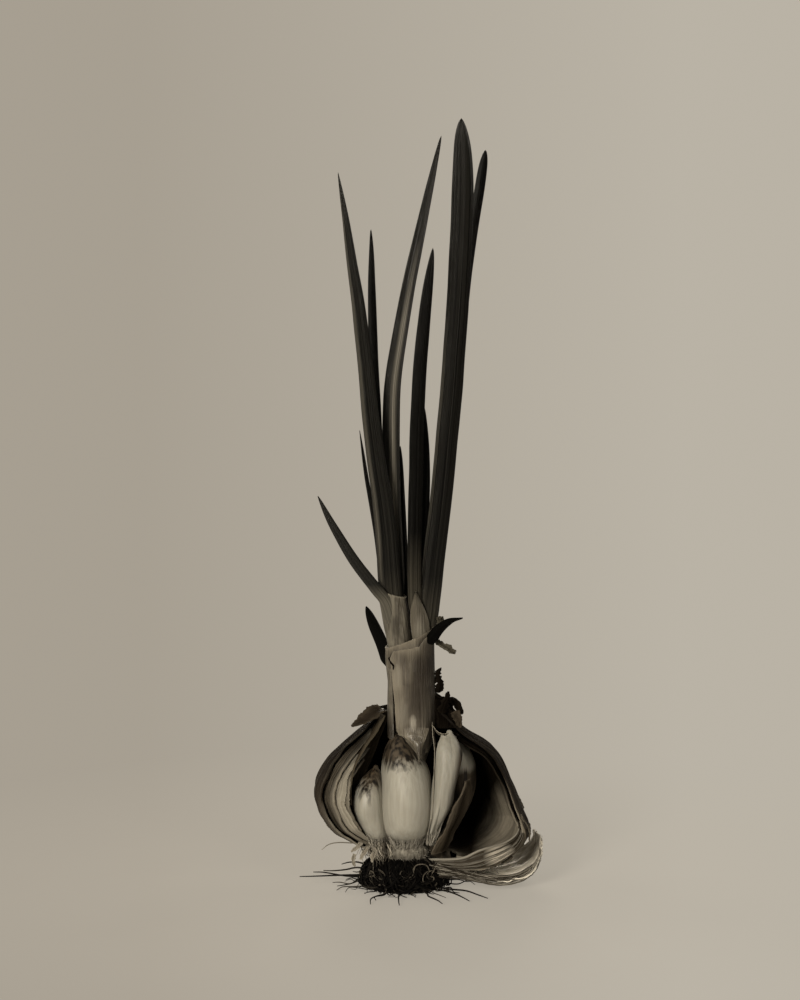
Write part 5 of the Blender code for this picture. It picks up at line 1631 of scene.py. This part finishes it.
def stage_piece(name, points, faces, material, lit):
    """A part of the studio. One that isn't `lit` is there for the camera only."""
    mesh = bpy.data.meshes.new(name)
    mesh.from_pydata(points, [], faces)
    mesh.materials.append(material)
    made = bpy.data.objects.new(name, mesh)
    made.location.z = -0.00002
    bpy.context.scene.collection.objects.link(made)
    if not lit:
        made.visible_diffuse = False
        made.visible_glossy = False
        made.visible_shadow = False


def add_light(name, place, aim, size, power, colour):
    light = bpy.data.lights.new(name, "AREA")
    light.shape = "DISK"
    light.size = size
    light.energy = power
    light.color = colour
    holder = bpy.data.objects.new(name, light)
    holder.location = place
    holder.rotation_euler = (Vector(aim) - Vector(place)).to_track_quat("-Z", "Y").to_euler()
    bpy.context.scene.collection.objects.link(holder)


def add_lights():
    world = bpy.data.worlds.new("room")
    world.use_nodes = True
    sky = world.node_tree.nodes["Background"]
    sky.inputs["Color"].default_value = (*WALL_COLOUR, 1)
    sky.inputs["Strength"].default_value = 0.24
    bpy.context.scene.world = world
    add_light("back_fill", (-0.10, 1.25, 0.60), (0, 0, 0.08), 0.60, 10.0, (1.0, 0.92, 0.79))
    add_light("right_fill", (1.10, 0.70, 0.50), (0, 0, 0.08), 0.60, 3.0, (1.0, 0.92, 0.79))
    add_light("front_fill", (0.62, -0.85, 0.78), (0, 0, 0.05), 0.50, 2.6, (1.0, 0.92, 0.79))
    add_light("side_fill", (-1.15, 0.55, 0.50), (0, 0, 0.08), 0.60, 3.5, (1.0, 0.92, 0.79))
    add_light("key", (-0.50, -1.09, 0.48), (0, 0, 0.08), 0.42, 14.3, (1.0, 0.92, 0.79))


def add_camera():
    lens = bpy.data.cameras.new("camera")
    lens.sensor_width = 36
    lens.lens = 36 * CAMERA_DISTANCE / PICTURE_HEIGHT
    lens.clip_start = 0.05
    holder = bpy.data.objects.new("camera", lens)
    back = Vector((0, -math.cos(CAMERA_ELEVATION), math.sin(CAMERA_ELEVATION)))
    holder.location = CAMERA_TARGET + back * CAMERA_DISTANCE
    holder.rotation_euler = (-back).to_track_quat("-Z", "Y").to_euler()
    bpy.context.scene.collection.objects.link(holder)
    bpy.context.scene.camera = holder


def main():
    bpy.context.scene.view_settings.view_transform = "Standard"
    add_camera()
    add_lights()
    add_backdrop()
    add_roots()
    add_plate()
    add_frayed_bases()
    add_lobes()
    add_membrane()
    add_scales()
    add_scale_fibres()
    add_lower_flap()
    add_peelings()
    add_left_hollow()
    add_tatters()
    add_stems()
    add_leaves()
    bpy.context.view_layer.update()


main()
